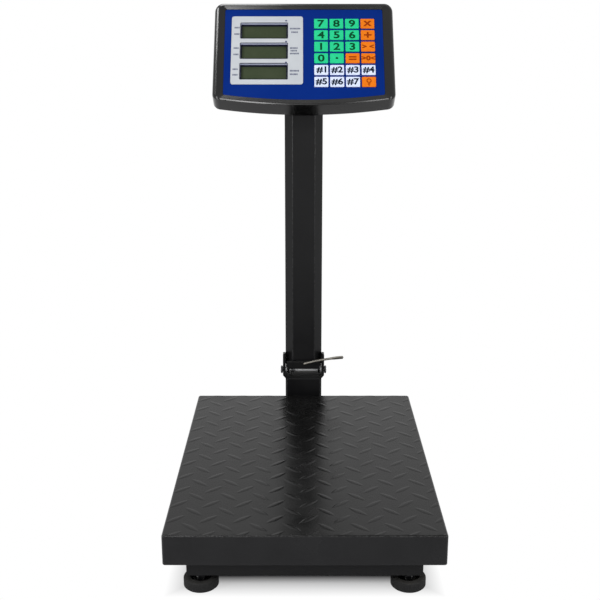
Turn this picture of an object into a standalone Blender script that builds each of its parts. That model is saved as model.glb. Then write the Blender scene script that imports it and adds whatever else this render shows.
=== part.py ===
"""Folding platform shipping scale: a sheet-steel pan on a single-point load cell, and a price-computing
head on a column that folds back.

The scale stands on the floor at Z = 0, its front faces -Y and its origin is the middle of its footprint.
Each moving group hangs on an empty on its joint axis: the column on the fold pin, the latch on its rod and
the head on its tilt pin.
"""

import math

import bmesh
import bpy
from mathutils import Vector

MM = 0.001
GAP = 0.3 * MM
OVERSHOOT = 1.0 * MM
ARC_STEP = 22.5
ROUND_SIDES = 24
SMALL_SIDES = 16
SMOOTH_ANGLE = math.radians(35)

# Pan
PAN_WIDTH = 300 * MM
PAN_DEPTH = 400 * MM
PAN_SKIRT = 34.3 * MM
PAN_SHEET = 2.0 * MM
PAN_EDGE = 1.5 * MM
PAN_CORNER = 3.5 * MM
SKIRT_CLEARANCE = 2.2 * MM

# Feet, inset from the rails' ends and offset outwards from the rails' middles
FOOT_RADIUS = 19 * MM
FOOT_HEIGHT = 11.5 * MM
FOOT_EDGE = 1.5 * MM
FOOT_DISH = 4 * MM
FOOT_DISH_RADIUS = 12 * MM
FOOT_DISH_SLOPE = 1.5 * MM
FOOT_FLOOR = 4 * MM
FOOT_INSET = 14 * MM
FOOT_OFFSET = 5 * MM
STUD_RADIUS = 4 * MM
STUD_TIP = 1.0 * MM
STUD_TOP_CLEARANCE = 1.2 * MM
JAM_NUT_RADIUS = 6.5 * MM
JAM_NUT_HEIGHT = 6.5 * MM
JAM_NUT_CLEARANCE = 5.2 * MM

# Base frame of flat tube, inset from the pan's edges
TUBE_HEIGHT = 16 * MM
TUBE_WALL = 2.5 * MM
RAIL_INSET = 24 * MM
RAIL_DEPTH = 40 * MM
BASE_INSET = 10 * MM
SPINE_MARGIN = 2 * MM
TAIL_MARGIN = 17 * MM
WELD_NUT_RADIUS = 8 * MM
WELD_NUT_HEIGHT = 7 * MM

# Load cell and the frame that it carries, inset from the pan's edges
CELL_LENGTH = 130 * MM
CELL_WIDTH = 30 * MM
CELL_HEIGHT = 22 * MM
CELL_END = 36 * MM
CELL_MARGIN = 4 * MM
CELL_SPACER = 2 * MM
CELL_HOLE_RADIUS = 7.5 * MM
CELL_HOLE_SPACING = 30 * MM
CELL_SLOT = 4 * MM
POCKET_CLEARANCE = 5 * MM
WEIGH_INSET_X = 20 * MM
WEIGH_INSET_Y = 50 * MM
WEIGH_RAIL = 30 * MM
WEIGH_SPINE = 60 * MM
WEIGH_HEIGHT = 14 * MM

# Column and the stub that it folds on
COLUMN_GAP = 25 * MM
COLUMN_WIDTH = 52 * MM
COLUMN_DEPTH = 40 * MM
COLUMN_CHAMFER = 10.5 * MM
COLUMN_WALL = 2.0 * MM
COLUMN_PLUG = 32 * MM
COLUMN_LENGTH = 350.4 * MM
STUB_HEIGHT = 52.0 * MM
STUB_CHAMFER = 2.5 * MM
STUB_FLANGE_MARGIN = 8 * MM
STUB_FLANGE = 4 * MM

# Fold bracket, fold pin and the knuckle under the column
BRACKET_WEB = 4 * MM
EAR_THICKNESS = 3.5 * MM
EAR_HEIGHT = 34.2 * MM
EAR_TAPER = 4.4 * MM
EAR_SETBACK = 1.0 * MM
EAR_FLAT = 4 * MM
EAR_FALL = 13 * MM
FOLD_PIN_RADIUS = 4 * MM
FOLD_PIN_SETBACK = 10 * MM
KNUCKLE_RADIUS = 9 * MM
KNUCKLE_CLEARANCE = 3.9 * MM
KNUCKLE_SIDE_PLAY = 0.5 * MM
KNUCKLE_CAP_RISE = 6.3 * MM
KNUCKLE_CAP = 3.3 * MM
LEDGE_WIDTH = 22 * MM
LEDGE_REACH = 4 * MM

# Latch on its rod, drawn hooked and then let go by LATCH_LIFT; its handle bends from root to end
LATCH_LIFT = math.radians(6)
ROD_RADIUS = 2.5 * MM
ROD_SETBACK = 8 * MM
ROD_RISE = 7.4 * MM
ROD_END = 0.4 * MM
COLLAR_RADIUS = 3.6 * MM
COLLAR_LENGTH = 2.2 * MM
NUT_FLATS = 10 * MM
NUT_THICKNESS = 2.8 * MM
LUG_RADIUS = 5 * MM
LUG_THICKNESS = 3 * MM
LUG_START = 230
LUG_END = 420
PAWL_PLATE = 3 * MM
PAWL_BOTTOM = 8 * MM
PAWL_LEDGE_GAP = 0.5 * MM
HOOK_OVERLAP = 1.2 * MM
HOOK_RISE = 1.3 * MM
HOOK_THICKNESS = 2.6 * MM
ARM_DEPTH = 3.5 * MM
HANDLE_RADIUS = 1.8 * MM
HANDLE_ROOT = (-0.7 * MM, 16.6 * MM)
HANDLE_BEND = (29.5 * MM, 25.6 * MM)
HANDLE_END = (57 * MM, 27.4 * MM)
HANDLE_STEPS = 7
HANDLE_ROUNDNESS = 2
SPRING_WIRE = 0.6 * MM
SPRING_PLAY = 1.1 * MM
SPRING_TURNS = 3
SPRING_PITCH = 1.75 * MM
SPRING_STEPS = 10
SPRING_ROUNDNESS = 1
SPRING_LEG_SLOPE = math.radians(64)
SPRING_LEG_GAP = 0.5 * MM

# Head: its lean, its place on the tilt pin, then its bezel and back tray
HEAD_TILT = math.radians(36)
TILT_PIN_RISE = 30 * MM
FACE_OFFSET = 20 * MM
BEZEL_SIDE = 14.1 * MM
BEZEL_TOP = 9.3 * MM
BEZEL_BOTTOM = 8.0 * MM
HEAD_BOW = 8 * MM
HEAD_CORNER = 11 * MM
TIGHT_CORNER = 2.5 * MM
BOW_STEPS = 10
HEAD_WALL = 2.5 * MM
RIM_HEIGHT = 2.2 * MM
RIM_EDGE = 2.6 * MM
RIM_CREST = 0.6 * MM
FRONT_DEPTH = 23.5 * MM
BACK_LIP = 1.0 * MM
BACK_TAPER = 19 * MM
BACK_EDGE = 2.5 * MM

# Printed film on the face, and its margins round the panel and the keypad
FILM_TOP = 10.8 * MM
FILM_BOTTOM = 11.75 * MM
FILM_BOW = 7 * MM
FILM_CORNER = 2.5 * MM
FILM_SHEET = 1.6 * MM
PANEL_SIDE = 9 * MM
PANEL_KEY_GAP = 14.7 * MM
KEYPAD_SIDE = 11.1 * MM
LEDGE_INSET = 6 * MM
LEDGE_SHEET = 2.5 * MM

# Keypad
KEY_ROWS = (
    ("7", "8", "9", "clear"),
    ("4", "5", "6", "add"),
    ("1", "2", "3", "tare"),
    ("0", "point", "total", "zero"),
    ("memory_1", "memory_2", "memory_3", "memory_4"),
    ("memory_5", "memory_6", "memory_7", "light"),
)
KEY_WIDTH = 18.1 * MM
KEY_HEIGHT = 14.9 * MM
KEY_GAP_X = 2.4 * MM
KEY_GAP_Y = 2.95 * MM
KEYPAD_Y = 0.95 * MM
KEY_PROUD = 0.8 * MM
KEY_EDGE = 0.4 * MM
KEY_CAP = 2.4 * MM
KEY_STEM = 7 * MM
KEY_TRAVEL = 0.5 * MM

# Display panel with its windows a little off its middle
PANEL_Y = 4.9 * MM
PANEL_MARGIN_X = 15.45 * MM
PANEL_MARGIN_Y = 8.9 * MM
PANEL_CORNER = 3 * MM
PANEL_PROUD = 0.3 * MM
PANEL_SHEET = 3.8 * MM
WINDOW_WIDTH = 63.1 * MM
WINDOW_HEIGHT = 24 * MM
WINDOW_GAP = 7.2 * MM
WINDOW_SHIFT_X = -4.2 * MM
WINDOW_SHIFT_Y = -1.3 * MM
WINDOW_CORNER = 1.5 * MM
WINDOW_COUNT = 3
LCD_MARGIN = 5 * MM
LCD_THICKNESS = 7.3 * MM

# Inside the head
BOARD_INSET = 11.2 * MM
BOARD_MARGIN = 3.5 * MM
BOARD_SHEET = 1.6 * MM
POST_RADIUS = 4 * MM
POST_INSET_X = 7 * MM
POST_INSET_Y = 16 * MM
BATTERY_WIDTH = 100 * MM
BATTERY_HEIGHT = 42 * MM
BATTERY_DEPTH = 29 * MM
BATTERY_ROOM = 3.2 * MM
BATTERY_Y = 26 * MM

# Back of the head: tilt joint, switch and charging socket
LUG_INNER = 15 * MM
TILT_LUG_THICKNESS = 6 * MM
TILT_LUG_RADIUS = 10.5 * MM
TILT_LUG_ROOT = 1.5 * MM
TILT_PIN_RADIUS = 4 * MM
TILT_PIN_END = 1.0 * MM
TILT_HEAD_RADIUS = 7 * MM
TILT_HEAD = 3 * MM
TILT_NUT_FLATS = 13 * MM
TILT_NUT = 6 * MM
YOKE_STEP = 0.5 * MM
YOKE_FLANGE = 3.3 * MM
SWITCH_X = 66 * MM
SWITCH_Y = -22 * MM
SWITCH_WIDTH = 13 * MM
SWITCH_LENGTH = 17 * MM
SWITCH_PLAY = 0.6 * MM
SWITCH_SIDE = 2.4 * MM
SWITCH_PEAK = 1.4 * MM
SOCKET_X = -66 * MM
SOCKET_Y = -22 * MM
SOCKET_RADIUS = 5.75 * MM
SOCKET_FLANGE_RADIUS = 8 * MM
SOCKET_FLANGE = 1.5 * MM
SOCKET_LENGTH = 13 * MM
SOCKET_BORE = 3 * MM
SOCKET_BORE_DEPTH = 9 * MM

# Plan and heights of the base, worked out from the sizes
RAIL_LENGTH = PAN_WIDTH - 2 * RAIL_INSET
BASE_LENGTH = PAN_DEPTH - 2 * BASE_INSET
SPINE_WIDTH = COLUMN_WIDTH + 2 * (STUB_FLANGE_MARGIN + SPINE_MARGIN)
WEIGH_WIDTH = PAN_WIDTH - 2 * WEIGH_INSET_X
WEIGH_LENGTH = PAN_DEPTH - 2 * WEIGH_INSET_Y
REAR_REACH = COLUMN_GAP + COLUMN_DEPTH + STUB_FLANGE_MARGIN + TAIL_MARGIN
PAN_Y = -REAR_REACH / 2
DISH_FLOOR = FOOT_HEIGHT - FOOT_DISH
JAM_NUT_TOP = DISH_FLOOR + GAP + JAM_NUT_HEIGHT
BASE_BOTTOM = JAM_NUT_TOP + JAM_NUT_CLEARANCE
BASE_TOP = BASE_BOTTOM + TUBE_HEIGHT
BASE_FLOOR = BASE_BOTTOM + TUBE_WALL
PAN_TOP = BASE_TOP + SKIRT_CLEARANCE + PAN_SKIRT
CELL_BOTTOM = BASE_FLOOR + GAP + CELL_SPACER + GAP
CELL_TOP = CELL_BOTTOM + CELL_HEIGHT
WEIGH_TOP = PAN_TOP - PAN_SHEET - GAP
WEIGH_BOTTOM = WEIGH_TOP - WEIGH_HEIGHT

# Column and fold joint, worked out from the sizes
COLUMN_Y = PAN_DEPTH / 2 + COLUMN_GAP + COLUMN_DEPTH / 2
COLUMN_FRONT = COLUMN_Y - COLUMN_DEPTH / 2
COLUMN_REAR = COLUMN_Y + COLUMN_DEPTH / 2
STUB_SEAT = BASE_TOP + GAP
STUB_TOP = STUB_SEAT + STUB_HEIGHT
BRACKET_BOTTOM = STUB_TOP + GAP
BRACKET_FLOOR = BRACKET_BOTTOM + BRACKET_WEB
EAR_INNER = COLUMN_WIDTH / 2 + GAP
EAR_OUTER = EAR_INNER + EAR_THICKNESS
EAR_TOP = BRACKET_FLOOR + EAR_HEIGHT
EAR_FRONT = COLUMN_FRONT + EAR_SETBACK
EAR_REAR = COLUMN_REAR - EAR_SETBACK
FOLD_PIN = Vector((0, COLUMN_REAR - FOLD_PIN_SETBACK, BRACKET_FLOOR + KNUCKLE_RADIUS + KNUCKLE_CLEARANCE))
ROD = Vector((0, COLUMN_FRONT + ROD_SETBACK, BRACKET_FLOOR + ROD_RISE))
CAP_TOP = KNUCKLE_CAP_RISE + KNUCKLE_CAP
TUBE_BOTTOM = CAP_TOP + GAP
TUBE_TOP = TUBE_BOTTOM + COLUMN_LENGTH
TUBE_Y = COLUMN_Y - FOLD_PIN.y
TILT_PIN = Vector((0, TUBE_Y, TUBE_TOP + TILT_PIN_RISE))

# Face of the head, from its left side to its right, worked out from the sizes
KEY_PITCH_X = KEY_WIDTH + KEY_GAP_X
KEY_PITCH_Y = KEY_HEIGHT + KEY_GAP_Y
KEYPAD_WIDTH = len(KEY_ROWS[0]) * KEY_PITCH_X - KEY_GAP_X
KEYPAD_HEIGHT = len(KEY_ROWS) * KEY_PITCH_Y - KEY_GAP_Y
WINDOW_PITCH = WINDOW_HEIGHT + WINDOW_GAP
WINDOWS_HEIGHT = WINDOW_COUNT * WINDOW_PITCH - WINDOW_GAP
PANEL_WIDTH = WINDOW_WIDTH + 2 * PANEL_MARGIN_X
PANEL_HEIGHT = WINDOWS_HEIGHT + 2 * PANEL_MARGIN_Y
FILM_WIDTH = PANEL_SIDE + PANEL_WIDTH + PANEL_KEY_GAP + KEYPAD_WIDTH + KEYPAD_SIDE
PANEL_X = PANEL_SIDE + PANEL_WIDTH / 2 - FILM_WIDTH / 2
KEYPAD_X = FILM_WIDTH / 2 - KEYPAD_SIDE - KEYPAD_WIDTH / 2
WINDOW_X = PANEL_X + WINDOW_SHIFT_X
WINDOW_Y = PANEL_Y + WINDOW_SHIFT_Y
FILM_RISE = max(PANEL_HEIGHT / 2 + PANEL_Y, KEYPAD_HEIGHT / 2 + KEYPAD_Y) + FILM_TOP
FILM_FALL = max(PANEL_HEIGHT / 2 - PANEL_Y, KEYPAD_HEIGHT / 2 - KEYPAD_Y) + FILM_BOTTOM
HEAD_WIDTH = FILM_WIDTH + 2 * BEZEL_SIDE
HEAD_RISE = FILM_RISE + BEZEL_TOP
HEAD_FALL = FILM_FALL + BEZEL_BOTTOM
BOARD_WIDTH = FILM_WIDTH - 2 * BOARD_INSET
BOARD_HEIGHT = KEYPAD_HEIGHT + 2 * BOARD_MARGIN

# Depths of the head above its tilt pin, worked out from the sizes
BACK_WALL = TILT_LUG_RADIUS + TILT_LUG_ROOT
BACK_FLOOR = BACK_WALL + HEAD_WALL
BATTERY_LOW = BACK_FLOOR + GAP
BOARD_LOW = BATTERY_LOW + BATTERY_DEPTH + BATTERY_ROOM
BOARD_TOP = BOARD_LOW + BOARD_SHEET
PANEL_LOW = BOARD_TOP + GAP + LCD_THICKNESS + GAP
PANEL_TOP = PANEL_LOW + PANEL_SHEET
FACE_HEIGHT = PANEL_TOP - PANEL_PROUD
FILM_LOW = FACE_HEIGHT - FILM_SHEET
LEDGE_TOP = FILM_LOW - GAP
SEAM = FACE_HEIGHT - FRONT_DEPTH
YOKE_RADIUS = TILT_LUG_RADIUS - YOKE_STEP
YOKE_SIDE = LUG_INNER - GAP
TILT_LUG_OUTER = LUG_INNER + TILT_LUG_THICKNESS


def paint(name, colour, roughness, metallic=0.0):
    """A plain surface of one colour."""
    surface = bpy.data.materials.new(name)
    surface.use_nodes = True
    shader = surface.node_tree.nodes["Principled BSDF"]
    shader.inputs["Base Color"].default_value = (*colour, 1.0)
    shader.inputs["Roughness"].default_value = roughness
    shader.inputs["Metallic"].default_value = metallic
    return surface


def make_paints():
    """The scale's finishes by name."""
    return {
        "black_paint": paint("black_paint", (0.012, 0.012, 0.013), 0.42),
        "black_plastic": paint("black_plastic", (0.010, 0.010, 0.012), 0.28),
        "switch_plastic": paint("switch_plastic", (0.015, 0.015, 0.015), 0.50),
        "rubber": paint("rubber", (0.015, 0.015, 0.015), 0.75),
        "bright_steel": paint("bright_steel", (0.70, 0.70, 0.68), 0.25, 1.0),
        "dark_steel": paint("dark_steel", (0.10, 0.10, 0.10), 0.40, 1.0),
        "aluminium": paint("aluminium", (0.62, 0.63, 0.64), 0.38, 1.0),
        "blue_film": paint("blue_film", (0.008, 0.026, 0.260), 0.35),
        "silver_panel": paint("silver_panel", (0.56, 0.57, 0.62), 0.35),
        "lcd_glass": paint("lcd_glass", (0.052, 0.064, 0.030), 0.15),
        "board_green": paint("board_green", (0.015, 0.110, 0.040), 0.50),
        "battery_case": paint("battery_case", (0.10, 0.10, 0.11), 0.60),
        "key_green": paint("key_green", (0.012, 0.640, 0.210), 0.40),
        "key_orange": paint("key_orange", (0.900, 0.205, 0.010), 0.40),
        "key_white": paint("key_white", (0.800, 0.800, 0.800), 0.40),
    }


def on_axis(axis, across, along):
    """A point from its place across and along an axis: X takes (y, z), Y takes (x, z), Z takes (x, y)."""
    first, second = across
    return {"X": (along, first, second), "Y": (first, along, second), "Z": (first, second, along)}[axis]


def loft(rings, closed=False):
    """A solid skinned through rings of as many points, with end caps or, if closed, joined end to end."""
    shape = bmesh.new()
    loops = [[shape.verts.new(point) for point in ring] for ring in rings]
    pairs = list(zip(loops, loops[1:]))
    if closed:
        pairs.append((loops[-1], loops[0]))
    else:
        shape.faces.new(reversed(loops[0]))
        shape.faces.new(loops[-1])
    count = len(loops[0])
    for low, high in pairs:
        for i in range(count):
            j = (i + 1) % count
            shape.faces.new((low[i], low[j], high[j], high[i]))
    bmesh.ops.recalc_face_normals(shape, faces=shape.faces)
    return shape


def prism(outline, low, high, axis="Z"):
    """An outline carried along an axis from low to high."""
    return loft([[on_axis(axis, point, level) for point in outline] for level in (low, high)])


def box(low, high):
    """A block between two corners."""
    corners = [(low[0], low[1]), (high[0], low[1]), (high[0], high[1]), (low[0], high[1])]
    return prism(corners, low[2], high[2])


def circle(radius, sides, centre=(0, 0)):
    """Points round a circle."""
    angles = [2 * math.pi * (i + 0.5) / sides for i in range(sides)]
    return [(centre[0] + radius * math.cos(a), centre[1] + radius * math.sin(a)) for a in angles]


def turned(profile, axis="Z", sides=ROUND_SIDES, centre=(0, 0)):
    """A solid of revolution from (radius, height) pairs, closed flat at its two ends."""
    return loft([[on_axis(axis, p, h) for p in circle(r, sides, centre)] for r, h in profile])


def cylinder(radius, low, high, axis="Z", sides=ROUND_SIDES, centre=(0, 0)):
    """A round bar from low to high along an axis."""
    return turned([(radius, low), (radius, high)], axis, sides, centre)


def hexagon(flats, low, high):
    """A six-sided nut along X, without its bore, from its size across flats."""
    return cylinder(flats / math.sqrt(3), low, high, "X", 6)


def arc(centre, radius, start, end):
    """Points along an arc, angles in degrees, both ends included."""
    steps = round(abs(end - start) / ARC_STEP)
    angles = [math.radians(start + (end - start) * i / steps) for i in range(steps + 1)]
    return [(centre[0] + radius * math.cos(a), centre[1] + radius * math.sin(a)) for a in angles]


def rounded_rectangle(width, height, radius, centre=(0, 0)):
    """A rectangle with round corners."""
    x, y = width / 2 - radius, height / 2 - radius
    places = ((x, y, 0), (-x, y, 90), (-x, -y, 180), (x, -y, 270))
    return [
        point
        for px, py, start in places
        for point in arc((centre[0] + px, centre[1] + py), radius, start, start + 90)
    ]


def octagon(width, depth, chamfer, centre_y):
    """The column's section: a rectangle with its corners cut off."""
    x, y = width / 2, depth / 2
    cut_x, cut_y = x - chamfer, y - chamfer
    right = [(cut_x, -y), (x, -cut_y), (x, cut_y), (cut_x, y)]
    return [(px, py + centre_y) for px, py in right + [(-px, py) for px, py in reversed(right)]]


def inset_octagon(inset, centre_y, cut=COLUMN_CHAMFER):
    """The section of the column, or of its stub with a smaller cut, drawn in by an even wall."""
    chamfer = cut - inset * (2 - math.sqrt(2))
    return octagon(COLUMN_WIDTH - 2 * inset, COLUMN_DEPTH - 2 * inset, chamfer, centre_y)


def plug_octagon(centre_y):
    """The section of a plug that slides into the column tube."""
    return inset_octagon(COLUMN_WALL + GAP, centre_y)


def rail_frame(length, depth, rail, spine, inset, tail=0.0, open_ends=0.0):
    """An I-shaped plan: two cross rails on a spine, with an optional tail behind the rear rail."""
    x, y, s = length / 2 - inset + open_ends, depth / 2, spine / 2 - inset
    outer, inner, end = y - inset, y - rail + inset, y + tail - inset
    right = [(x, -outer), (x, -inner), (s, -inner), (s, inner), (x, inner), (x, outer)]
    if tail:
        right += [(s, outer), (s, end)]
    return right + [(-px, py) for px, py in reversed(right)]


def head_outline(half_width, top, bottom, bow, radius, height):
    """A ring round the face: round corners, straight sides and a bottom edge that bows down."""
    x = half_width - radius
    ring = arc((x, top - radius), radius, 0, 90) + arc((-x, top - radius), radius, 90, 180)
    ring += arc((-x, radius - bottom), radius, 180, 270)
    for i in range(1, BOW_STEPS):
        across = 2 * i / BOW_STEPS - 1
        ring.append((across * x, -bottom - bow * (1 - across * across)))
    ring += arc((x, radius - bottom), radius, 270, 360)
    return [(px, py + FACE_OFFSET, height) for px, py in ring]


def housing_ring(inset, height):
    """The head's outer outline drawn in by an even step."""
    radius = max(HEAD_CORNER - inset, TIGHT_CORNER)
    return head_outline(
        HEAD_WIDTH / 2 - inset, HEAD_RISE - inset, HEAD_FALL - inset, HEAD_BOW, radius, height
    )


def film_ring(inset, height):
    """The printed face film's outline drawn in by an even step."""
    radius = max(FILM_CORNER - inset, TIGHT_CORNER)
    return head_outline(
        FILM_WIDTH / 2 - inset, FILM_RISE - inset, FILM_FALL - inset, FILM_BOW, radius, height
    )


def on_face(x, y):
    """A place on the head's face, measured from the face's middle, in the head's own axes."""
    return (x, y + FACE_OFFSET)


class Workshop:
    """Turns shapes into named, painted objects and joins or cuts them with Boolean modifiers."""

    def __init__(self, paints):
        self.paints = paints

    def empty(self, name, place, parent=None, turn=0.0):
        """A joint axis that other pieces hang on."""
        axis = bpy.data.objects.new(name, None)
        axis.location = place
        axis.rotation_euler = (turn, 0, 0)
        axis.parent = parent
        bpy.context.collection.objects.link(axis)
        return axis

    def piece(self, name, shape, finish, parent, place=(0, 0, 0)):
        """A named sub-part."""
        mesh = bpy.data.meshes.new(name)
        shape.to_mesh(mesh)
        shape.free()
        mesh.materials.append(self.paints[finish])
        mesh.shade_smooth()
        mesh.set_sharp_from_angle(angle=SMOOTH_ANGLE)
        part = bpy.data.objects.new(name, mesh)
        part.parent = parent
        part.location = place
        bpy.context.collection.objects.link(part)
        return part

    def combine(self, part, shape, operation):
        """Join a shape to a sub-part, or cut it out, through a hidden guide object."""
        mesh = bpy.data.meshes.new(part.name + "_guide")
        shape.to_mesh(mesh)
        shape.free()
        guide = bpy.data.objects.new(mesh.name, mesh)
        guide.parent = part.parent
        guide.location = part.location
        guide.hide_render = True
        guide.display_type = "WIRE"
        bpy.context.collection.objects.link(guide)
        step = part.modifiers.new(operation.lower(), "BOOLEAN")
        step.operation = operation
        step.solver = "EXACT"
        step.object = guide

    def join(self, part, *shapes):
        """Add shapes to a sub-part."""
        for shape in shapes:
            self.combine(part, shape, "UNION")

    def cut(self, part, *shapes):
        """Take shapes out of a sub-part."""
        for shape in shapes:
            self.combine(part, shape, "DIFFERENCE")

    def wire(self, name, points, radius, finish, parent, roundness):
        """A round wire through points, with flat ends."""
        path = bpy.data.curves.new(name, "CURVE")
        path.dimensions = "3D"
        path.bevel_depth = radius
        path.bevel_resolution = roundness
        path.use_fill_caps = True
        spline = path.splines.new("POLY")
        spline.points.add(len(points) - 1)
        for target, point in zip(spline.points, points):
            target.co = (*point, 1.0)
        path.materials.append(self.paints[finish])
        part = bpy.data.objects.new(name, path)
        part.parent = parent
        bpy.context.collection.objects.link(part)
        return part


def foot_places():
    """The feet, front left first and then round, measured from the pan's middle."""
    x = RAIL_LENGTH / 2 - FOOT_INSET
    y = (BASE_LENGTH - RAIL_DEPTH) / 2 + FOOT_OFFSET
    return [(-x, -y), (x, -y), (x, y), (-x, y)]


def build_base(shop, base):
    """The I-shaped tube frame with a tail that reaches back under the column."""
    plan = (RAIL_LENGTH, BASE_LENGTH, RAIL_DEPTH, SPINE_WIDTH)
    tail = PAN_DEPTH / 2 + REAR_REACH - BASE_LENGTH / 2
    frame = shop.piece(
        "base_frame", prism(rail_frame(*plan, 0, tail), BASE_BOTTOM, BASE_TOP), "black_paint", base
    )
    hollow = rail_frame(*plan, TUBE_WALL, tail, TUBE_WALL + OVERSHOOT)
    pocket_x = CELL_WIDTH / 2 + POCKET_CLEARANCE
    pocket_y = CELL_LENGTH / 2 + POCKET_CLEARANCE
    shop.cut(
        frame,
        prism(hollow, BASE_FLOOR, BASE_TOP - TUBE_WALL),
        box(
            (-pocket_x, -pocket_y, BASE_TOP - TUBE_WALL - OVERSHOOT),
            (pocket_x, pocket_y, BASE_TOP + OVERSHOOT),
        ),
    )
    for place in foot_places():
        nut_low, nut_high = BASE_FLOOR - TUBE_WALL / 2, BASE_FLOOR + WELD_NUT_HEIGHT
        shop.join(frame, cylinder(WELD_NUT_RADIUS, nut_low, nut_high, "Z", SMALL_SIDES, place))
        bore = STUD_RADIUS + GAP
        shop.cut(
            frame,
            cylinder(bore, BASE_BOTTOM - OVERSHOOT, nut_high + OVERSHOOT, "Z", SMALL_SIDES, place),
        )


def build_feet(shop, base):
    """Four dished rubber pads on screwed studs, with a nut in each dish."""
    rim = FOOT_RADIUS - FOOT_EDGE
    bore = STUD_RADIUS + GAP
    pad = [
        (rim, 0),
        (FOOT_RADIUS, FOOT_EDGE),
        (FOOT_RADIUS, FOOT_HEIGHT - FOOT_EDGE),
        (rim, FOOT_HEIGHT),
        (FOOT_DISH_RADIUS, FOOT_HEIGHT),
        (FOOT_DISH_RADIUS - FOOT_DISH_SLOPE, DISH_FLOOR),
        (bore, DISH_FLOOR),
        (bore, FOOT_FLOOR),
    ]
    stud_top = BASE_TOP - TUBE_WALL - STUD_TOP_CLEARANCE
    nut_low = JAM_NUT_TOP - JAM_NUT_HEIGHT
    stud = [
        (STUD_RADIUS, FOOT_FLOOR + GAP),
        (STUD_RADIUS, nut_low),
        (JAM_NUT_RADIUS, nut_low),
        (JAM_NUT_RADIUS, JAM_NUT_TOP),
        (STUD_RADIUS, JAM_NUT_TOP),
        (STUD_RADIUS, stud_top - STUD_TIP),
        (STUD_RADIUS - STUD_TIP, stud_top),
    ]
    for number, (x, y) in enumerate(foot_places(), 1):
        shop.piece(f"foot_pad_{number}", turned(pad), "rubber", base, (x, y, 0))
        shop.piece(f"foot_stud_{number}", turned(stud, sides=SMALL_SIDES), "bright_steel", base, (x, y, 0))


def build_load_cell(shop, base):
    """The bending-beam load cell, bolted down at its rear end and carrying the weigh frame at its front."""
    half_x, half_y = CELL_WIDTH / 2, CELL_LENGTH / 2
    seat_far = half_y - CELL_MARGIN
    seat_near = seat_far - CELL_END
    shop.piece(
        "cell_spacer",
        box((-half_x, seat_near, BASE_FLOOR + GAP), (half_x, seat_far, CELL_BOTTOM - GAP)),
        "bright_steel",
        base,
    )
    cell = shop.piece(
        "load_cell", box((-half_x, -half_y, CELL_BOTTOM), (half_x, half_y, CELL_TOP)), "aluminium", base
    )
    middle = (CELL_BOTTOM + CELL_TOP) / 2
    reach = CELL_HOLE_SPACING / 2
    lip = math.degrees(math.asin(CELL_SLOT / 2 / CELL_HOLE_RADIUS))
    window = arc((reach, middle), CELL_HOLE_RADIUS, lip - 180, 180 - lip)
    window += arc((-reach, middle), CELL_HOLE_RADIUS, lip, 360 - lip)
    shop.cut(cell, prism(window, -half_x - OVERSHOOT, half_x + OVERSHOOT, "X"))

    weigh = shop.piece(
        "weigh_frame",
        prism(
            rail_frame(WEIGH_WIDTH, WEIGH_LENGTH, WEIGH_RAIL, WEIGH_SPINE, 0), WEIGH_BOTTOM, WEIGH_TOP
        ),
        "black_paint",
        base,
    )
    hollow = rail_frame(WEIGH_WIDTH, WEIGH_LENGTH, WEIGH_RAIL, WEIGH_SPINE, TUBE_WALL)
    shop.cut(weigh, prism(hollow, WEIGH_BOTTOM - OVERSHOOT, WEIGH_TOP - TUBE_WALL))
    shop.join(
        weigh, box((-half_x, -seat_far, CELL_TOP + GAP), (half_x, -seat_near, WEIGH_TOP - TUBE_WALL / 2))
    )


def build_pan(shop, base):
    """The turned-down sheet pan that lifts off the weigh frame."""
    bottom = PAN_TOP - PAN_SKIRT
    plan = rounded_rectangle(PAN_WIDTH, PAN_DEPTH, PAN_CORNER)
    inset = 2 * PAN_EDGE
    top = rounded_rectangle(PAN_WIDTH - inset, PAN_DEPTH - inset, PAN_CORNER - PAN_EDGE)
    levels = ((plan, bottom), (plan, PAN_TOP - PAN_EDGE), (top, PAN_TOP))
    pan = shop.piece(
        "pan", loft([[(*point, level) for point in ring] for ring, level in levels]), "black_paint", base
    )
    x, y = PAN_WIDTH / 2 - PAN_SHEET, PAN_DEPTH / 2 - PAN_SHEET
    shop.cut(pan, box((-x, -y, bottom - OVERSHOOT), (x, y, PAN_TOP - PAN_SHEET)))


def build_stub(shop, base):
    """The fixed foot of the column, on a flange over the base frame's tail."""
    section = inset_octagon(0, COLUMN_Y, STUB_CHAMFER)
    stub = shop.piece("column_stub", prism(section, STUB_SEAT, STUB_TOP), "black_paint", base)
    half_x = COLUMN_WIDTH / 2 + STUB_FLANGE_MARGIN
    half_y = COLUMN_DEPTH / 2 + STUB_FLANGE_MARGIN
    flange_top = STUB_SEAT + STUB_FLANGE
    shop.join(
        stub, box((-half_x, COLUMN_Y - half_y, STUB_SEAT), (half_x, COLUMN_Y + half_y, flange_top))
    )
    bore = inset_octagon(COLUMN_WALL, COLUMN_Y, STUB_CHAMFER)
    shop.cut(stub, prism(bore, STUB_SEAT - OVERSHOOT, STUB_TOP + OVERSHOOT))


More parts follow.
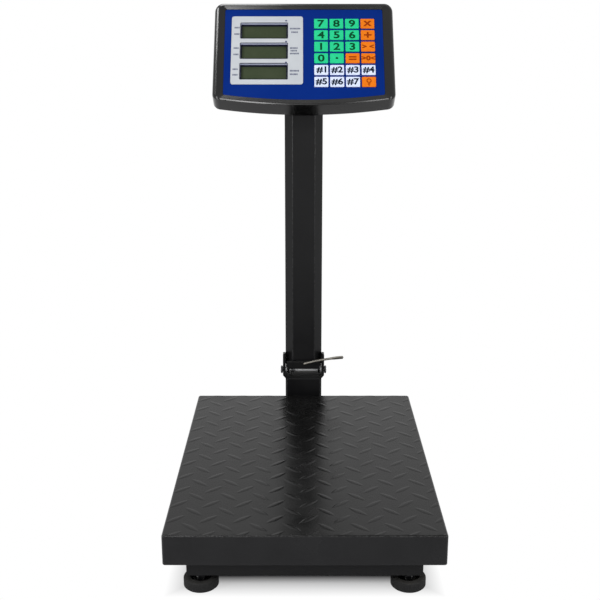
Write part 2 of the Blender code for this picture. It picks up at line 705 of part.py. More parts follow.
def build_bracket(shop, base):
    """The U-shaped bracket between the stub and the column, with its fold pin."""
    round_top = arc((EAR_INNER, EAR_TOP - EAR_THICKNESS), EAR_THICKNESS, 0, 90)
    right = [
        (COLUMN_WIDTH / 2, BRACKET_BOTTOM),
        (EAR_OUTER, BRACKET_BOTTOM + EAR_TAPER),
        *round_top,
        (EAR_INNER, BRACKET_FLOOR),
    ]
    outline = right + [(-x, z) for x, z in reversed(right)]
    bracket = shop.piece("fold_bracket", prism(outline, EAR_FRONT, EAR_REAR, "Y"), "black_paint", base)
    reach = EAR_OUTER + OVERSHOOT
    back, above = EAR_REAR + OVERSHOOT, EAR_TOP + OVERSHOOT
    slope = [(EAR_FRONT + EAR_FLAT, above), (back, EAR_TOP - EAR_FALL), (back, above)]
    shop.cut(bracket, prism(slope, -reach, reach, "X"))
    plug_low = BRACKET_BOTTOM - COLUMN_PLUG
    shop.join(bracket, prism(plug_octagon(COLUMN_Y), plug_low, BRACKET_BOTTOM + BRACKET_WEB / 2))
    for axis, radius in ((ROD, ROD_RADIUS), (FOLD_PIN, FOLD_PIN_RADIUS)):
        shop.cut(bracket, cylinder(radius + GAP, -reach, reach, "X", SMALL_SIDES, (axis.y, axis.z)))
    shop.piece(
        "hinge_pin",
        cylinder(FOLD_PIN_RADIUS, -EAR_OUTER, EAR_OUTER, "X", SMALL_SIDES, (FOLD_PIN.y, FOLD_PIN.z)),
        "bright_steel",
        base,
    )


def build_rod(shop, base):
    """The bright latch rod with its two collars, held by a nut outside each ear."""
    nut_low = EAR_OUTER + GAP
    end = nut_low + NUT_THICKNESS + ROD_END
    collar = EAR_INNER - GAP
    half = [
        (ROD_RADIUS, collar - COLLAR_LENGTH),
        (COLLAR_RADIUS, collar - COLLAR_LENGTH),
        (COLLAR_RADIUS, collar),
        (ROD_RADIUS, collar),
        (ROD_RADIUS, end),
    ]
    profile = [(radius, -x) for radius, x in reversed(half)] + half
    shop.piece("latch_rod", turned(profile, "X", SMALL_SIDES), "bright_steel", base, ROD)
    for name, side in (("rod_nut_left", -1), ("rod_nut_right", 1)):
        low, high = sorted((side * nut_low, side * (nut_low + NUT_THICKNESS)))
        nut = shop.piece(name, hexagon(NUT_FLATS, low, high), "dark_steel", base, ROD)
        shop.cut(nut, cylinder(ROD_RADIUS + GAP, low - OVERSHOOT, high + OVERSHOOT, "X", SMALL_SIDES))


def pawl_plate():
    """The pawl plate's front and back faces, hooked, measured from the rod."""
    back = COLUMN_FRONT - LEDGE_REACH - PAWL_LEDGE_GAP - ROD.y
    return back - PAWL_PLATE, back


def hook_bottom():
    """The height of the hook above the rod, hooked."""
    return FOLD_PIN.z + CAP_TOP + HOOK_RISE - ROD.z


def build_latch(shop, latch):
    """The pawl that hooks over the column's ledge, and its wire handle."""
    front, back = pawl_plate()
    hook_low = hook_bottom()
    hook_high = hook_low + HOOK_THICKNESS
    lug_high = EAR_INNER - 2 * GAP - COLLAR_LENGTH
    lug_low = lug_high - LUG_THICKNESS
    pawl = shop.piece(
        "latch_pawl", box((-lug_high, front, PAWL_BOTTOM), (lug_high, back, hook_high)), "black_paint", latch
    )
    hook_tip = back + PAWL_LEDGE_GAP + HOOK_OVERLAP
    half_hook = LEDGE_WIDTH / 2
    shop.join(pawl, box((-half_hook, back - PAWL_PLATE / 2, hook_low), (half_hook, hook_tip, hook_high)))
    eye = arc((0, 0), LUG_RADIUS, LUG_START, LUG_END)
    arm_top = PAWL_BOTTOM + ARM_DEPTH
    arm = [(front, PAWL_BOTTOM), *eye, (back, arm_top), (front, arm_top)]
    for low, high in ((-lug_high, -lug_low), (lug_low, lug_high)):
        shop.join(pawl, prism(arm, low, high, "X"))
    shop.cut(pawl, cylinder(ROD_RADIUS + GAP, -EAR_INNER, EAR_INNER, "X", SMALL_SIDES))

    y = front - GAP - HANDLE_RADIUS
    points = []
    for i in range(HANDLE_STEPS + 1):
        t = i / HANDLE_STEPS
        weights = ((1 - t) ** 2, 2 * t * (1 - t), t * t)
        ends = (HANDLE_ROOT, HANDLE_BEND, HANDLE_END)
        x, z = (sum(w * end[axis] for w, end in zip(weights, ends)) for axis in (0, 1))
        points.append((x, y, z))
    shop.wire("latch_handle", points, HANDLE_RADIUS, "bright_steel", latch, HANDLE_ROUNDNESS)


def spring_points():
    """The torsion spring's wire: a leg on the bracket, its turns on the rod and a leg behind the pawl."""
    coil = ROD_RADIUS + SPRING_PLAY + SPRING_WIRE
    start, end = 0.0, 2 * math.pi * SPRING_TURNS + SPRING_LEG_SLOPE
    count = round((end - start) / (2 * math.pi) * SPRING_STEPS)
    last_x = -LEDGE_WIDTH / 2 - SPRING_WIRE - GAP
    turn_pitch = SPRING_PITCH / (2 * math.pi)
    points = []
    for i in range(count + 1):
        angle = start + (end - start) * i / count
        x = last_x - (end - angle) * turn_pitch
        points.append((x, coil * math.cos(angle), coil * math.sin(angle)))
    first_x, first_y, _ = points[0]
    points.insert(0, (first_x, first_y, GAP - ROD_RISE))
    tip_x, tip_y, tip_z = points[-1]
    plate = pawl_plate()[1] * math.cos(LATCH_LIFT) - PAWL_BOTTOM * math.sin(LATCH_LIFT)
    run = tip_y - plate - SPRING_LEG_GAP
    points.append((tip_x, tip_y - run, tip_z + run / math.tan(SPRING_LEG_SLOPE)))
    return points


def least_gap(points, wire):
    """The least clear distance between turns of a wire, leaving out the stretch beside each point."""
    skip = SPRING_STEPS // 2
    distances = [
        (Vector(a) - Vector(b)).length
        for i, a in enumerate(points)
        for b in points[i + skip:]
    ]
    return min(distances) - 2 * wire


def build_spring(shop, base):
    """The torsion spring that closes the latch."""
    points = spring_points()
    print(f"latch_spring least gap {least_gap(points, SPRING_WIRE) / MM:.2f} mm")
    spring = shop.wire("latch_spring", points, SPRING_WIRE, "bright_steel", base, SPRING_ROUNDNESS)
    spring.location = ROD


def build_column(shop, column):
    """The folding column tube on its knuckle, with the head's yoke in its top."""
    cap_low, cap_high = KNUCKLE_CAP_RISE, CAP_TOP
    section = octagon(COLUMN_WIDTH, COLUMN_DEPTH, COLUMN_CHAMFER, TUBE_Y)
    knuckle = shop.piece("hinge_knuckle", prism(section, cap_low, cap_high), "black_paint", column)
    front = TUBE_Y - COLUMN_DEPTH / 2
    side = EAR_INNER - KNUCKLE_SIDE_PLAY
    half_ledge = LEDGE_WIDTH / 2
    shop.join(
        knuckle,
        prism(plug_octagon(TUBE_Y), cap_high - KNUCKLE_CAP / 2, cap_high + COLUMN_PLUG),
        box((-half_ledge, front - LEDGE_REACH, cap_low), (half_ledge, front + LEDGE_REACH, cap_high)),
        box((-side, -KNUCKLE_RADIUS, 0), (side, KNUCKLE_RADIUS, cap_low + KNUCKLE_CAP / 2)),
        cylinder(KNUCKLE_RADIUS, -side, side, "X"),
    )
    shop.cut(knuckle, cylinder(FOLD_PIN_RADIUS + GAP, -EAR_OUTER, EAR_OUTER, "X", SMALL_SIDES))

    tube = shop.piece("column_tube", prism(section, TUBE_BOTTOM, TUBE_TOP), "black_paint", column)
    bore = inset_octagon(COLUMN_WALL, TUBE_Y)
    shop.cut(tube, prism(bore, TUBE_BOTTOM - OVERSHOOT, TUBE_TOP + OVERSHOOT))

    flange = TUBE_TOP + GAP
    yoke = shop.piece("head_yoke", prism(section, flange, flange + YOKE_FLANGE), "black_paint", column)
    neck = box(
        (-YOKE_SIDE, TILT_PIN.y - YOKE_RADIUS, flange + YOKE_FLANGE / 2),
        (YOKE_SIDE, TILT_PIN.y + YOKE_RADIUS, TILT_PIN.z),
    )
    eye = (TILT_PIN.y, TILT_PIN.z)
    shop.join(
        yoke,
        prism(plug_octagon(TUBE_Y), TUBE_TOP - COLUMN_PLUG, flange + YOKE_FLANGE / 2),
        neck,
        cylinder(YOKE_RADIUS, -YOKE_SIDE, YOKE_SIDE, "X", ROUND_SIDES, eye),
    )
    shop.cut(
        yoke,
        cylinder(TILT_PIN_RADIUS + GAP, -LUG_INNER - OVERSHOOT, LUG_INNER + OVERSHOOT, "X", SMALL_SIDES, eye),
    )


def build_shells(shop, head):
    """The head's front bezel and back tray."""
    rim = FACE_HEIGHT + RIM_HEIGHT
    shoulder = RIM_EDGE * (1 - math.cos(math.radians(45)))
    bezel = [
        housing_ring(0, SEAM),
        housing_ring(0, rim - RIM_EDGE),
        housing_ring(shoulder, rim - shoulder),
        housing_ring(RIM_EDGE, rim),
        housing_ring(RIM_EDGE + RIM_CREST, rim),
        film_ring(-GAP, FACE_HEIGHT + GAP),
        film_ring(-GAP, LEDGE_TOP),
        film_ring(LEDGE_INSET, LEDGE_TOP),
        film_ring(LEDGE_INSET, LEDGE_TOP - LEDGE_SHEET),
        housing_ring(HEAD_WALL, LEDGE_TOP - LEDGE_SHEET),
        housing_ring(HEAD_WALL, SEAM),
    ]
    shop.piece("head_front_shell", loft(bezel, closed=True), "black_plastic", head)

    top = SEAM - GAP
    inner_taper = BACK_TAPER + HEAD_WALL
    tray = [
        housing_ring(BACK_TAPER + BACK_EDGE, BACK_WALL),
        housing_ring(BACK_TAPER, BACK_WALL + BACK_EDGE),
        housing_ring(BACK_LIP, top),
        housing_ring(BACK_LIP + HEAD_WALL, top),
        housing_ring(inner_taper, BACK_FLOOR + BACK_EDGE),
        housing_ring(inner_taper + BACK_EDGE, BACK_FLOOR),
    ]
    shell = shop.piece("head_back_shell", loft(tray), "black_plastic", head)
    root = BACK_FLOOR - HEAD_WALL / 2
    for side in (-1, 1):
        low, high = sorted((side * LUG_INNER, side * TILT_LUG_OUTER))
        lug = arc((0, 0), TILT_LUG_RADIUS, 180, 360)
        shop.join(shell, prism([*lug, (TILT_LUG_RADIUS, root), (-TILT_LUG_RADIUS, root)], low, high, "X"))
    for place in post_places():
        shop.join(shell, cylinder(POST_RADIUS, root, BOARD_LOW - GAP, "Z", SMALL_SIDES, place))
    reach = TILT_LUG_OUTER + OVERSHOOT
    low, high = BACK_WALL - OVERSHOOT, BACK_FLOOR + OVERSHOOT
    x, y = on_face(SWITCH_X, SWITCH_Y)
    half_x, half_y = SWITCH_WIDTH / 2 + SWITCH_PLAY, SWITCH_LENGTH / 2 + SWITCH_PLAY
    shop.cut(
        shell,
        cylinder(TILT_PIN_RADIUS + GAP, -reach, reach, "X", SMALL_SIDES),
        box((x - half_x, y - half_y, low), (x + half_x, y + half_y, high)),
        cylinder(SOCKET_RADIUS + GAP, low, high, "Z", SMALL_SIDES, on_face(SOCKET_X, SOCKET_Y)),
    )


def post_places():
    """Where the board's four posts stand on the back tray."""
    half_x, half_y = BOARD_WIDTH / 2 - POST_INSET_X, BOARD_HEIGHT / 2 - POST_INSET_Y
    return [on_face(x, y) for x in (-half_x, half_x) for y in (-half_y, half_y)]


def key_places():
    """Each key's name and the middle of its cap on the face."""
    rows, columns = len(KEY_ROWS), len(KEY_ROWS[0])
    for row, names in enumerate(KEY_ROWS):
        y = KEYPAD_Y + ((rows - 1) / 2 - row) * KEY_PITCH_Y
        for column, name in enumerate(names):
            yield name, KEYPAD_X + (column - (columns - 1) / 2) * KEY_PITCH_X, y


def build_face(shop, head):
    """The printed film with its key holes, the display panel and the three-row display behind it."""
    overlay = shop.piece(
        "keypad_overlay",
        loft([film_ring(0, FILM_LOW), film_ring(0, FACE_HEIGHT)]),
        "blue_film",
        head,
    )
    low, high = FILM_LOW - OVERSHOOT, FACE_HEIGHT + OVERSHOOT
    panel_place = on_face(PANEL_X, PANEL_Y)
    opening = rounded_rectangle(
        PANEL_WIDTH + 2 * GAP, PANEL_HEIGHT + 2 * GAP, PANEL_CORNER + GAP, panel_place
    )
    shop.cut(overlay, prism(opening, low, high))
    half_x, half_y = KEY_WIDTH / 2 + GAP, KEY_HEIGHT / 2 + GAP
    for _, x, y in key_places():
        x, y = on_face(x, y)
        shop.cut(overlay, box((x - half_x, y - half_y, low), (x + half_x, y + half_y, high)))

    plate = rounded_rectangle(PANEL_WIDTH, PANEL_HEIGHT, PANEL_CORNER, panel_place)
    panel = shop.piece("display_panel", prism(plate, PANEL_LOW, PANEL_TOP), "silver_panel", head)
    for row in range(WINDOW_COUNT):
        y = WINDOW_Y + ((WINDOW_COUNT - 1) / 2 - row) * WINDOW_PITCH
        hole = rounded_rectangle(WINDOW_WIDTH, WINDOW_HEIGHT, WINDOW_CORNER, on_face(WINDOW_X, y))
        shop.cut(panel, prism(hole, PANEL_LOW - OVERSHOOT, PANEL_TOP + OVERSHOOT))
    lcd_x = WINDOW_WIDTH / 2 + LCD_MARGIN
    lcd_y = WINDOWS_HEIGHT / 2 + LCD_MARGIN
    x, y = on_face(WINDOW_X, WINDOW_Y)
    shop.piece(
        "lcd_module",
        box((x - lcd_x, y - lcd_y, BOARD_TOP + GAP), (x + lcd_x, y + lcd_y, PANEL_LOW - GAP)),
        "lcd_glass",
        head,
    )


def key_finish(name):
    """Green digits, white memory keys and orange commands."""
    if name.isdigit() or name == "point":
        return "key_green"
    return "key_white" if name.startswith("memory") else "key_orange"


def build_keys(shop, head):
    """Each key: a cap in the film's opening on a stem that stands over its switch on the board."""
    stem_low = BOARD_TOP + KEY_TRAVEL + GAP - FACE_HEIGHT
    sections = [
        (KEY_STEM, KEY_STEM, stem_low),
        (KEY_STEM, KEY_STEM, KEY_PROUD - KEY_CAP),
        (KEY_WIDTH, KEY_HEIGHT, KEY_PROUD - KEY_CAP),
        (KEY_WIDTH, KEY_HEIGHT, KEY_PROUD - KEY_EDGE),
        (KEY_WIDTH - 2 * KEY_EDGE, KEY_HEIGHT - 2 * KEY_EDGE, KEY_PROUD),
    ]
    for name, x, y in key_places():
        rings = []
        for width, height, level in sections:
            half_x, half_y = width / 2, height / 2
            corners = ((-half_x, -half_y), (half_x, -half_y), (half_x, half_y), (-half_x, half_y))
            rings.append([(*corner, level) for corner in corners])
        shop.piece(f"key_{name}", loft(rings), key_finish(name), head, (*on_face(x, y), FACE_HEIGHT))


def build_inside(shop, head):
    """The main board on the tray's posts and the battery on its floor."""
    half_x, half_y = BOARD_WIDTH / 2, BOARD_HEIGHT / 2
    low, high = on_face(-half_x, -half_y), on_face(half_x, half_y)
    shop.piece("main_board", box((*low, BOARD_LOW), (*high, BOARD_TOP)), "board_green", head)
    half_x, half_y = BATTERY_WIDTH / 2, BATTERY_HEIGHT / 2
    low, high = on_face(-half_x, BATTERY_Y - half_y), on_face(half_x, BATTERY_Y + half_y)
    block = box((*low, BATTERY_LOW), (*high, BATTERY_LOW + BATTERY_DEPTH))
    shop.piece("battery", block, "battery_case", head)


def build_tilt_joint(shop, head):
    """The bolt and nut that clamp the head's lugs to the yoke."""
    seat = TILT_LUG_OUTER + GAP
    nut_end = seat + TILT_NUT
    bolt = [
        (TILT_HEAD_RADIUS, -seat - TILT_HEAD),
        (TILT_HEAD_RADIUS, -seat),
        (TILT_PIN_RADIUS, -seat),
        (TILT_PIN_RADIUS, nut_end + TILT_PIN_END),
    ]
    shop.piece("tilt_pin", turned(bolt, "X", SMALL_SIDES), "dark_steel", head)
    nut = shop.piece("tilt_nut", hexagon(TILT_NUT_FLATS, seat, nut_end), "dark_steel", head)
    shop.cut(
        nut, cylinder(TILT_PIN_RADIUS + GAP, seat - OVERSHOOT, nut_end + OVERSHOOT, "X", SMALL_SIDES)
    )


def build_rear_controls(shop, head):
    """The rocker power switch and the charging socket in the back tray."""
    half = SWITCH_LENGTH / 2
    back = [(half, HEAD_WALL), (-half, HEAD_WALL)]
    rocker = [(-half, -SWITCH_SIDE), (0, -SWITCH_PEAK), (half, -SWITCH_SIDE), *back]
    half_x = SWITCH_WIDTH / 2
    shop.piece(
        "power_switch",
        prism(rocker, -half_x, half_x, "X"),
        "switch_plastic",
        head,
        (*on_face(SWITCH_X, SWITCH_Y), BACK_WALL),
    )
    flange_top = -GAP
    socket = [
        (SOCKET_FLANGE_RADIUS, flange_top - SOCKET_FLANGE),
        (SOCKET_FLANGE_RADIUS, flange_top),
        (SOCKET_RADIUS, flange_top),
        (SOCKET_RADIUS, flange_top + SOCKET_LENGTH),
    ]
    inlet = shop.piece(
        "charge_socket",
        turned(socket, sides=SMALL_SIDES),
        "dark_steel",
        head,
        (*on_face(SOCKET_X, SOCKET_Y), BACK_WALL),
    )
    mouth = flange_top - SOCKET_FLANGE
    shop.cut(inlet, cylinder(SOCKET_BORE, mouth - OVERSHOOT, mouth + SOCKET_BORE_DEPTH, "Z", SMALL_SIDES))


def clear_scene():
    """Empty the scene before building."""
    for leftover in list(bpy.data.objects):
        bpy.data.objects.remove(leftover)


def main():
    """Build the whole scale."""
    clear_scene()
    shop = Workshop(make_paints())
    base = shop.empty("base_axis", (0, PAN_Y, 0))
    build_base(shop, base)
    build_feet(shop, base)
    build_load_cell(shop, base)
    build_pan(shop, base)
    build_stub(shop, base)
    build_bracket(shop, base)
    build_rod(shop, base)
    build_spring(shop, base)
    build_latch(shop, shop.empty("latch_axis", ROD, base, LATCH_LIFT))
    column = shop.empty("fold_axis", FOLD_PIN, base)
    build_column(shop, column)
    head = shop.empty("tilt_axis", TILT_PIN, column, math.pi / 2 - HEAD_TILT)
    build_shells(shop, head)
    build_face(shop, head)
    build_keys(shop, head)
    build_inside(shop, head)
    build_tilt_joint(shop, head)
    build_rear_controls(shop, head)


main()
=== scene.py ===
"""Looks of a folding platform shipping scale.

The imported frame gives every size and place. This script lays fine surfaces, finishes and a plain studio on it:
the tread pan, the base and its feet, the folding column with its latch, and the head with its keypad and display.
"""

import logging
import math
from dataclasses import dataclass
from enum import Enum

import bmesh
import bpy
import numpy as np
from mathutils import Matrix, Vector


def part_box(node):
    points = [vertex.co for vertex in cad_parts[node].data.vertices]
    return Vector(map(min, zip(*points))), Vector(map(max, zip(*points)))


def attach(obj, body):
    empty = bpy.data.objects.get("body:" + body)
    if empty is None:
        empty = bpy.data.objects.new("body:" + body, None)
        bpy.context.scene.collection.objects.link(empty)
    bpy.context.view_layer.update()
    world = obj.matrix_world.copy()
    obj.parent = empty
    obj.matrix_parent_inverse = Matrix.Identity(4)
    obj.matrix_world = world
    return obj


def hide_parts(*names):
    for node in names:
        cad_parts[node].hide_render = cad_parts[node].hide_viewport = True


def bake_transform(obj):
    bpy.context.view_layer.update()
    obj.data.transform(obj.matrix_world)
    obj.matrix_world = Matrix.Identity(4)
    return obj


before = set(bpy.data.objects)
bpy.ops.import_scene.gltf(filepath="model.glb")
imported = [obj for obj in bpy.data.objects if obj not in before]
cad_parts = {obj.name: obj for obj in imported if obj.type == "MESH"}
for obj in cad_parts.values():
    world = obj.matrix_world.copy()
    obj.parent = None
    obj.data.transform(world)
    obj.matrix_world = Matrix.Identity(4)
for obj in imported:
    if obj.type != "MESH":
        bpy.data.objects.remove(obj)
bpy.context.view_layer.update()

LOG = logging.getLogger("platform_scale")
MM = 0.001
TURN = 2 * math.pi
Array = np.ndarray
Colour = tuple[int, int, int]


class Axis(Enum):
    """The way that a turned or drawn shape runs, as the order of its section's two values and its run."""

    X = (2, 0, 1)
    Y = (0, 2, 1)
    Z = (0, 1, 2)


class Texture(Enum):
    """The kinds of surface that a finish may have."""

    SKIN = "paint_skin"
    DRAWN = "drawn_metal"


@dataclass
class Shape:
    """Points and faces of a piece before it is a mesh.

    Attributes:
        points: x, y and z of each point, in metres.
        faces: the point numbers of each face.
        edge: 0 on flat faces to 1 along rounded edges, where a finish wears.
    """

    points: Array
    faces: list[list[int]]
    edge: Array

    def placed(self, turn: Array, place: Array) -> "Shape":
        """The shape turned by a 3 x 3 matrix and then moved."""
        return Shape(self.points @ np.asarray(turn).T + place, self.faces, self.edge)

    def moved(self, place: tuple[float, float, float]) -> "Shape":
        """The shape moved."""
        return Shape(self.points + np.asarray(place), self.faces, self.edge)

    @staticmethod
    def joined(shapes: list["Shape"]) -> "Shape":
        """Several shapes as one, with their points numbered on.

        Args:
            shapes: the shapes to join.

        Returns:
            One shape that holds all their points and faces.
        """
        starts = np.cumsum([0] + [len(shape.points) for shape in shapes[:-1]])
        faces = [
            [number + int(start) for number in face]
            for shape, start in zip(shapes, starts)
            for face in shape.faces
        ]
        points = np.concatenate([shape.points for shape in shapes])
        return Shape(points, faces, np.concatenate([shape.edge for shape in shapes]))


def grid_faces(rows: int, columns: int, round_rows: bool, round_columns: bool) -> Array:
    """Four-sided faces between neighbouring rows and columns of a grid of points.

    Args:
        rows: number of rows.
        columns: number of columns.
        round_rows: whether the last row joins the first.
        round_columns: whether the last column joins the first.

    Returns:
        Point numbers, four to a face.
    """
    row, column = np.meshgrid(
        np.arange(rows if round_rows else rows - 1),
        np.arange(columns if round_columns else columns - 1),
        indexing="ij",
    )
    next_row, next_column = (row + 1) % rows, (column + 1) % columns
    corners = (
        row * columns + column,
        row * columns + next_column,
        next_row * columns + next_column,
        next_row * columns + column,
    )
    return np.stack(corners, axis=-1).reshape(-1, 4)


def loft(rings: Array, edge: Array | float = 0.0, closed: bool = False) -> Shape:
    """A skin through a stack of closed rings; row and column number are its two parameters.

    Args:
        rings: points in rows, one ring to a row.
        edge: wear value of each row, or of each point.
        closed: whether the last ring joins the first; if not, the two end rings are filled.

    Returns:
        The skin.
    """
    rows, columns = rings.shape[:2]
    faces = grid_faces(rows, columns, closed, True).tolist()
    if not closed:
        first = np.arange(columns)
        faces += [first[::-1].tolist(), (first + (rows - 1) * columns).tolist()]
    worn = np.asarray(edge, float)
    worn = worn[:, None] if worn.ndim == 1 else worn
    return Shape(rings.reshape(-1, 3), faces, np.broadcast_to(worn, (rows, columns)).reshape(-1).copy())


def fillet(corners: list, radii: float | list, steps: int = 4, closed: bool = True) -> tuple[Array, Array]:
    """A line with rounded corners.

    At each corner an arc touches both sides. Its middle lies on the corner's bisector, the radius over the sine
    of half the angle away, and its points swing evenly from one side's touching point to the other's.

    Args:
        corners: the line's corners in a plane.
        radii: one radius, or one for each corner.
        steps: steps in each arc.
        closed: whether the line closes on itself; if not, its two ends stay as they are.

    Returns:
        The rounded line's points, and a value for each that is 1 in the middle of an arc and 0 at its ends.
    """
    points = np.asarray(corners, float)
    radius = np.broadcast_to(np.asarray(radii, float), len(points)).copy()
    if not closed:
        radius[[0, -1]] = 0.0
    before, after = np.roll(points, 1, axis=0) - points, np.roll(points, -1, axis=0) - points
    before /= np.linalg.norm(before, axis=1, keepdims=True)
    after /= np.linalg.norm(after, axis=1, keepdims=True)
    half = np.clip(np.arccos(np.clip((before * after).sum(axis=1), -1, 1)) / 2, 1e-4, math.pi / 2 - 1e-4)
    bisector = before + after
    bisector /= np.maximum(np.linalg.norm(bisector, axis=1, keepdims=True), 1e-9)
    middle = points + bisector * (radius / np.sin(half))[:, None]
    reach = (radius / np.tan(half))[:, None]
    start, end = points + before * reach - middle, points + after * reach - middle
    sweep = (math.pi - 2 * half)[:, None, None]
    share = np.linspace(0, 1, steps + 1)
    first, last = np.sin(sweep * (1 - share)[None, :, None]), np.sin(sweep * share[None, :, None])
    swing = (first * start[:, None] + last * end[:, None]) / np.sin(sweep)
    edge = np.where(radius > 0, 1.0, 0.0)[:, None] * np.sin(math.pi * share)[None]
    return (middle[:, None] + swing).reshape(-1, 2), edge.reshape(-1)


def rounded_rectangle(width: float, height: float, radius: float, steps: int = 5) -> Array:
    """A rectangle about the origin with round corners, anticlockwise."""
    x, y = width / 2, height / 2
    return fillet([(-x, -y), (x, -y), (x, y), (-x, y)], radius, steps)[0]


def on_axis(axis: Axis, across: Array, run: Array) -> Array:
    """Section points and their run along an axis, put in x, y, z order."""
    return np.concatenate([across, run[..., None]], axis=-1)[..., list(axis.value)]


def turned(profile: Array, axis: Axis = Axis.Z, sides: int = 64, edge: Array | float = 0.0) -> Shape:
    """A turned shape: each profile point's radius swings round the axis at its height.

    Args:
        profile: radius and height of each point of the profile.
        axis: the axis that it is turned about.
        sides: number of steps round the axis.
        edge: wear value of each profile point.

    Returns:
        The shape, its ends filled.
    """
    angle = np.arange(sides) / sides * TURN
    around = np.stack([np.cos(angle), np.sin(angle)], axis=-1)
    across = profile[:, None, :1] * around[None]
    run = np.broadcast_to(profile[:, None, 1], across.shape[:2])
    return loft(on_axis(axis, across, run), edge)


def rounded_bar(radius: float, low: float, high: float, edge_radius: float, axis: Axis) -> Shape:
    """A round bar with rounded ends: the profile runs up one end, along the side and down the other end."""
    core = radius * 0.3
    corners = [(core, low), (radius, low), (radius, high), (core, high)]
    profile, edge = fillet(corners, edge_radius, 4, closed=False)
    return turned(profile, axis, 48, edge)


def nut(flats: float, low: float, high: float, axis: Axis) -> Shape:
    """A chamfered hexagon nut or bolt head.

    At each angle the radius is the lesser of the distance to the flat and that to a cone that opens from each end.

    Args:
        flats: distance across the flats.
        low: start along the axis.
        high: end along the axis.
        axis: the axis of the nut.

    Returns:
        The shape, its ends filled.
    """
    sides = 72
    angle = np.arange(sides) / sides * TURN
    flat = flats / 2 / np.cos(angle % (TURN / 6) - TURN / 12)
    depth = min((high - low) / 3, flats * 0.11)
    run = np.concatenate([np.linspace(low, low + depth, 6), np.linspace(high - depth, high, 6)])
    cone = flats * 0.465 + 1.2 * np.minimum(run - low, high - run)
    radius = np.minimum(flat[None], cone[:, None])
    around = np.stack([np.cos(angle), np.sin(angle)], axis=-1)
    across = radius[..., None] * around[None]
    edge = np.clip((radius - flats * 0.5) / (flats * 0.06), 0, 1)
    return loft(on_axis(axis, across, np.broadcast_to(run[:, None], radius.shape)), edge)


def swept(path: Array, halves: Array, side_way: tuple[float, float, float], sides: int) -> Shape:
    """A rod along a flat path: at each point an ellipse stands across the path's direction.

    Args:
        path: points of the middle line.
        halves: the ellipse's half widths at each point, in the path's plane and across it.
        side_way: direction square to the path's plane.
        sides: steps round the ellipse.

    Returns:
        The rod, its ends filled.
    """
    run = np.gradient(path, axis=0)
    run /= np.linalg.norm(run, axis=1, keepdims=True)
    inward = np.cross(run, np.asarray(side_way, float))
    inward /= np.linalg.norm(inward, axis=1, keepdims=True)
    outward = np.cross(inward, run)
    angle = np.arange(sides) / sides * TURN
    first = halves[:, :1, None] * np.cos(angle)[None, :, None] * inward[:, None]
    second = halves[:, 1:, None] * np.sin(angle)[None, :, None] * outward[:, None]
    return loft(path[:, None] + first + second)


def slab(outline: Array, low: float, high: float, edge: float, inset: float) -> Shape:
    """A flat plate with a rounded upper edge: the outline steps inwards along an arc as the height rises.

    Args:
        outline: the plate's outline, about its own middle.
        low: height of its underside.
        high: height of its top.
        edge: radius of the upper edge.
        inset: how far in the flat ring beside the edge reaches.

    Returns:
        The plate, lying across Z.
    """
    profile, worn = fillet([(0, low), (0, high), (inset, high)], [0, edge, 0], 5, closed=False)
    reach = np.abs(outline).max(axis=0)
    scale = 1 - profile[:, None, :1] / reach[None, None]
    plan = outline[None] * scale
    height = np.broadcast_to(profile[:, None, 1], plan.shape[:2])
    return loft(np.concatenate([plan, height[..., None]], axis=-1), worn)


def cross_head(radius: float, height: float) -> Shape:
    """A domed screw head with a cross recess.

    On a grid of radius and angle the height is a shallow dome, less a cross of four straight slots that fade out
    at two thirds of the radius.

    Args:
        radius: radius of the head.
        height: height of the dome.

    Returns:
        The head, standing on Z = 0.
    """
    share = np.concatenate([np.linspace(0.03, 1, 20), [1.0]])[:, None]
    angle = (np.arange(64) / 64 * TURN)[None]
    x, y = radius * share * np.cos(angle), radius * share * np.sin(angle)
    slot = np.clip((radius * 0.17 - np.minimum(np.abs(x), np.abs(y))) / (radius * 0.08), 0, 1)
    slot *= np.clip((0.68 - share) / 0.1, 0, 1)
    z = height * np.sqrt(np.clip(1 - 0.82 * share**2, 0, 1)) - slot * height * 0.55
    z[-1] = -0.2 * MM
    return loft(np.stack([x, y, z], axis=-1))


class NodeSketch:
    """Draws one shader node tree: adds nodes, sets their inputs and links them."""

    def __init__(self, tree: bpy.types.NodeTree) -> None:
        """Takes a tree and clears it."""
        self.tree = tree
        tree.nodes.clear()

    def add(self, kind: str, inputs: dict | None = None, **settings: object) -> bpy.types.Node:
        """Adds a node.

        Args:
            kind: the node's type, without its usual prefix.
            inputs: values or output sockets for its inputs, by name or number.
            settings: the node's own options.

        Returns:
            The new node.
        """
        node = self.tree.nodes.new(kind if kind.startswith("NodeGroup") else f"ShaderNode{kind}")
        for key, value in settings.items():
            setattr(node, key, value)
        for key, value in (inputs or {}).items():
            self.feed(node.inputs[key], value)
        return node

    def feed(self, socket: bpy.types.NodeSocket, value: object) -> None:
        """Links an output to a socket, or sets the socket's own value."""
        if isinstance(value, bpy.types.NodeSocket):
            self.tree.links.new(value, socket)
        else:
            socket.default_value = value

    def mix(self, share: object, first: object, second: object) -> bpy.types.NodeSocket:
        """A colour between two others."""
        return self.add("Mix", {0: share, 6: first, 7: second}, data_type="RGBA").outputs[2]

    def spread(self, value: object, low: float, high: float, to: tuple[float, float] = (0.0, 1.0)) -> object:
        """A value stretched from one range to another and held inside it."""
        return self.add("MapRange", {0: value, 1: low, 2: high, 3: to[0], 4: to[1]}).outputs[0]

    def maths(self, operation: str, first: object, second: object = 0.0) -> bpy.types.NodeSocket:
        """The result of one sum on two values."""
        return self.add("Math", {0: first, 1: second}, operation=operation).outputs[0]


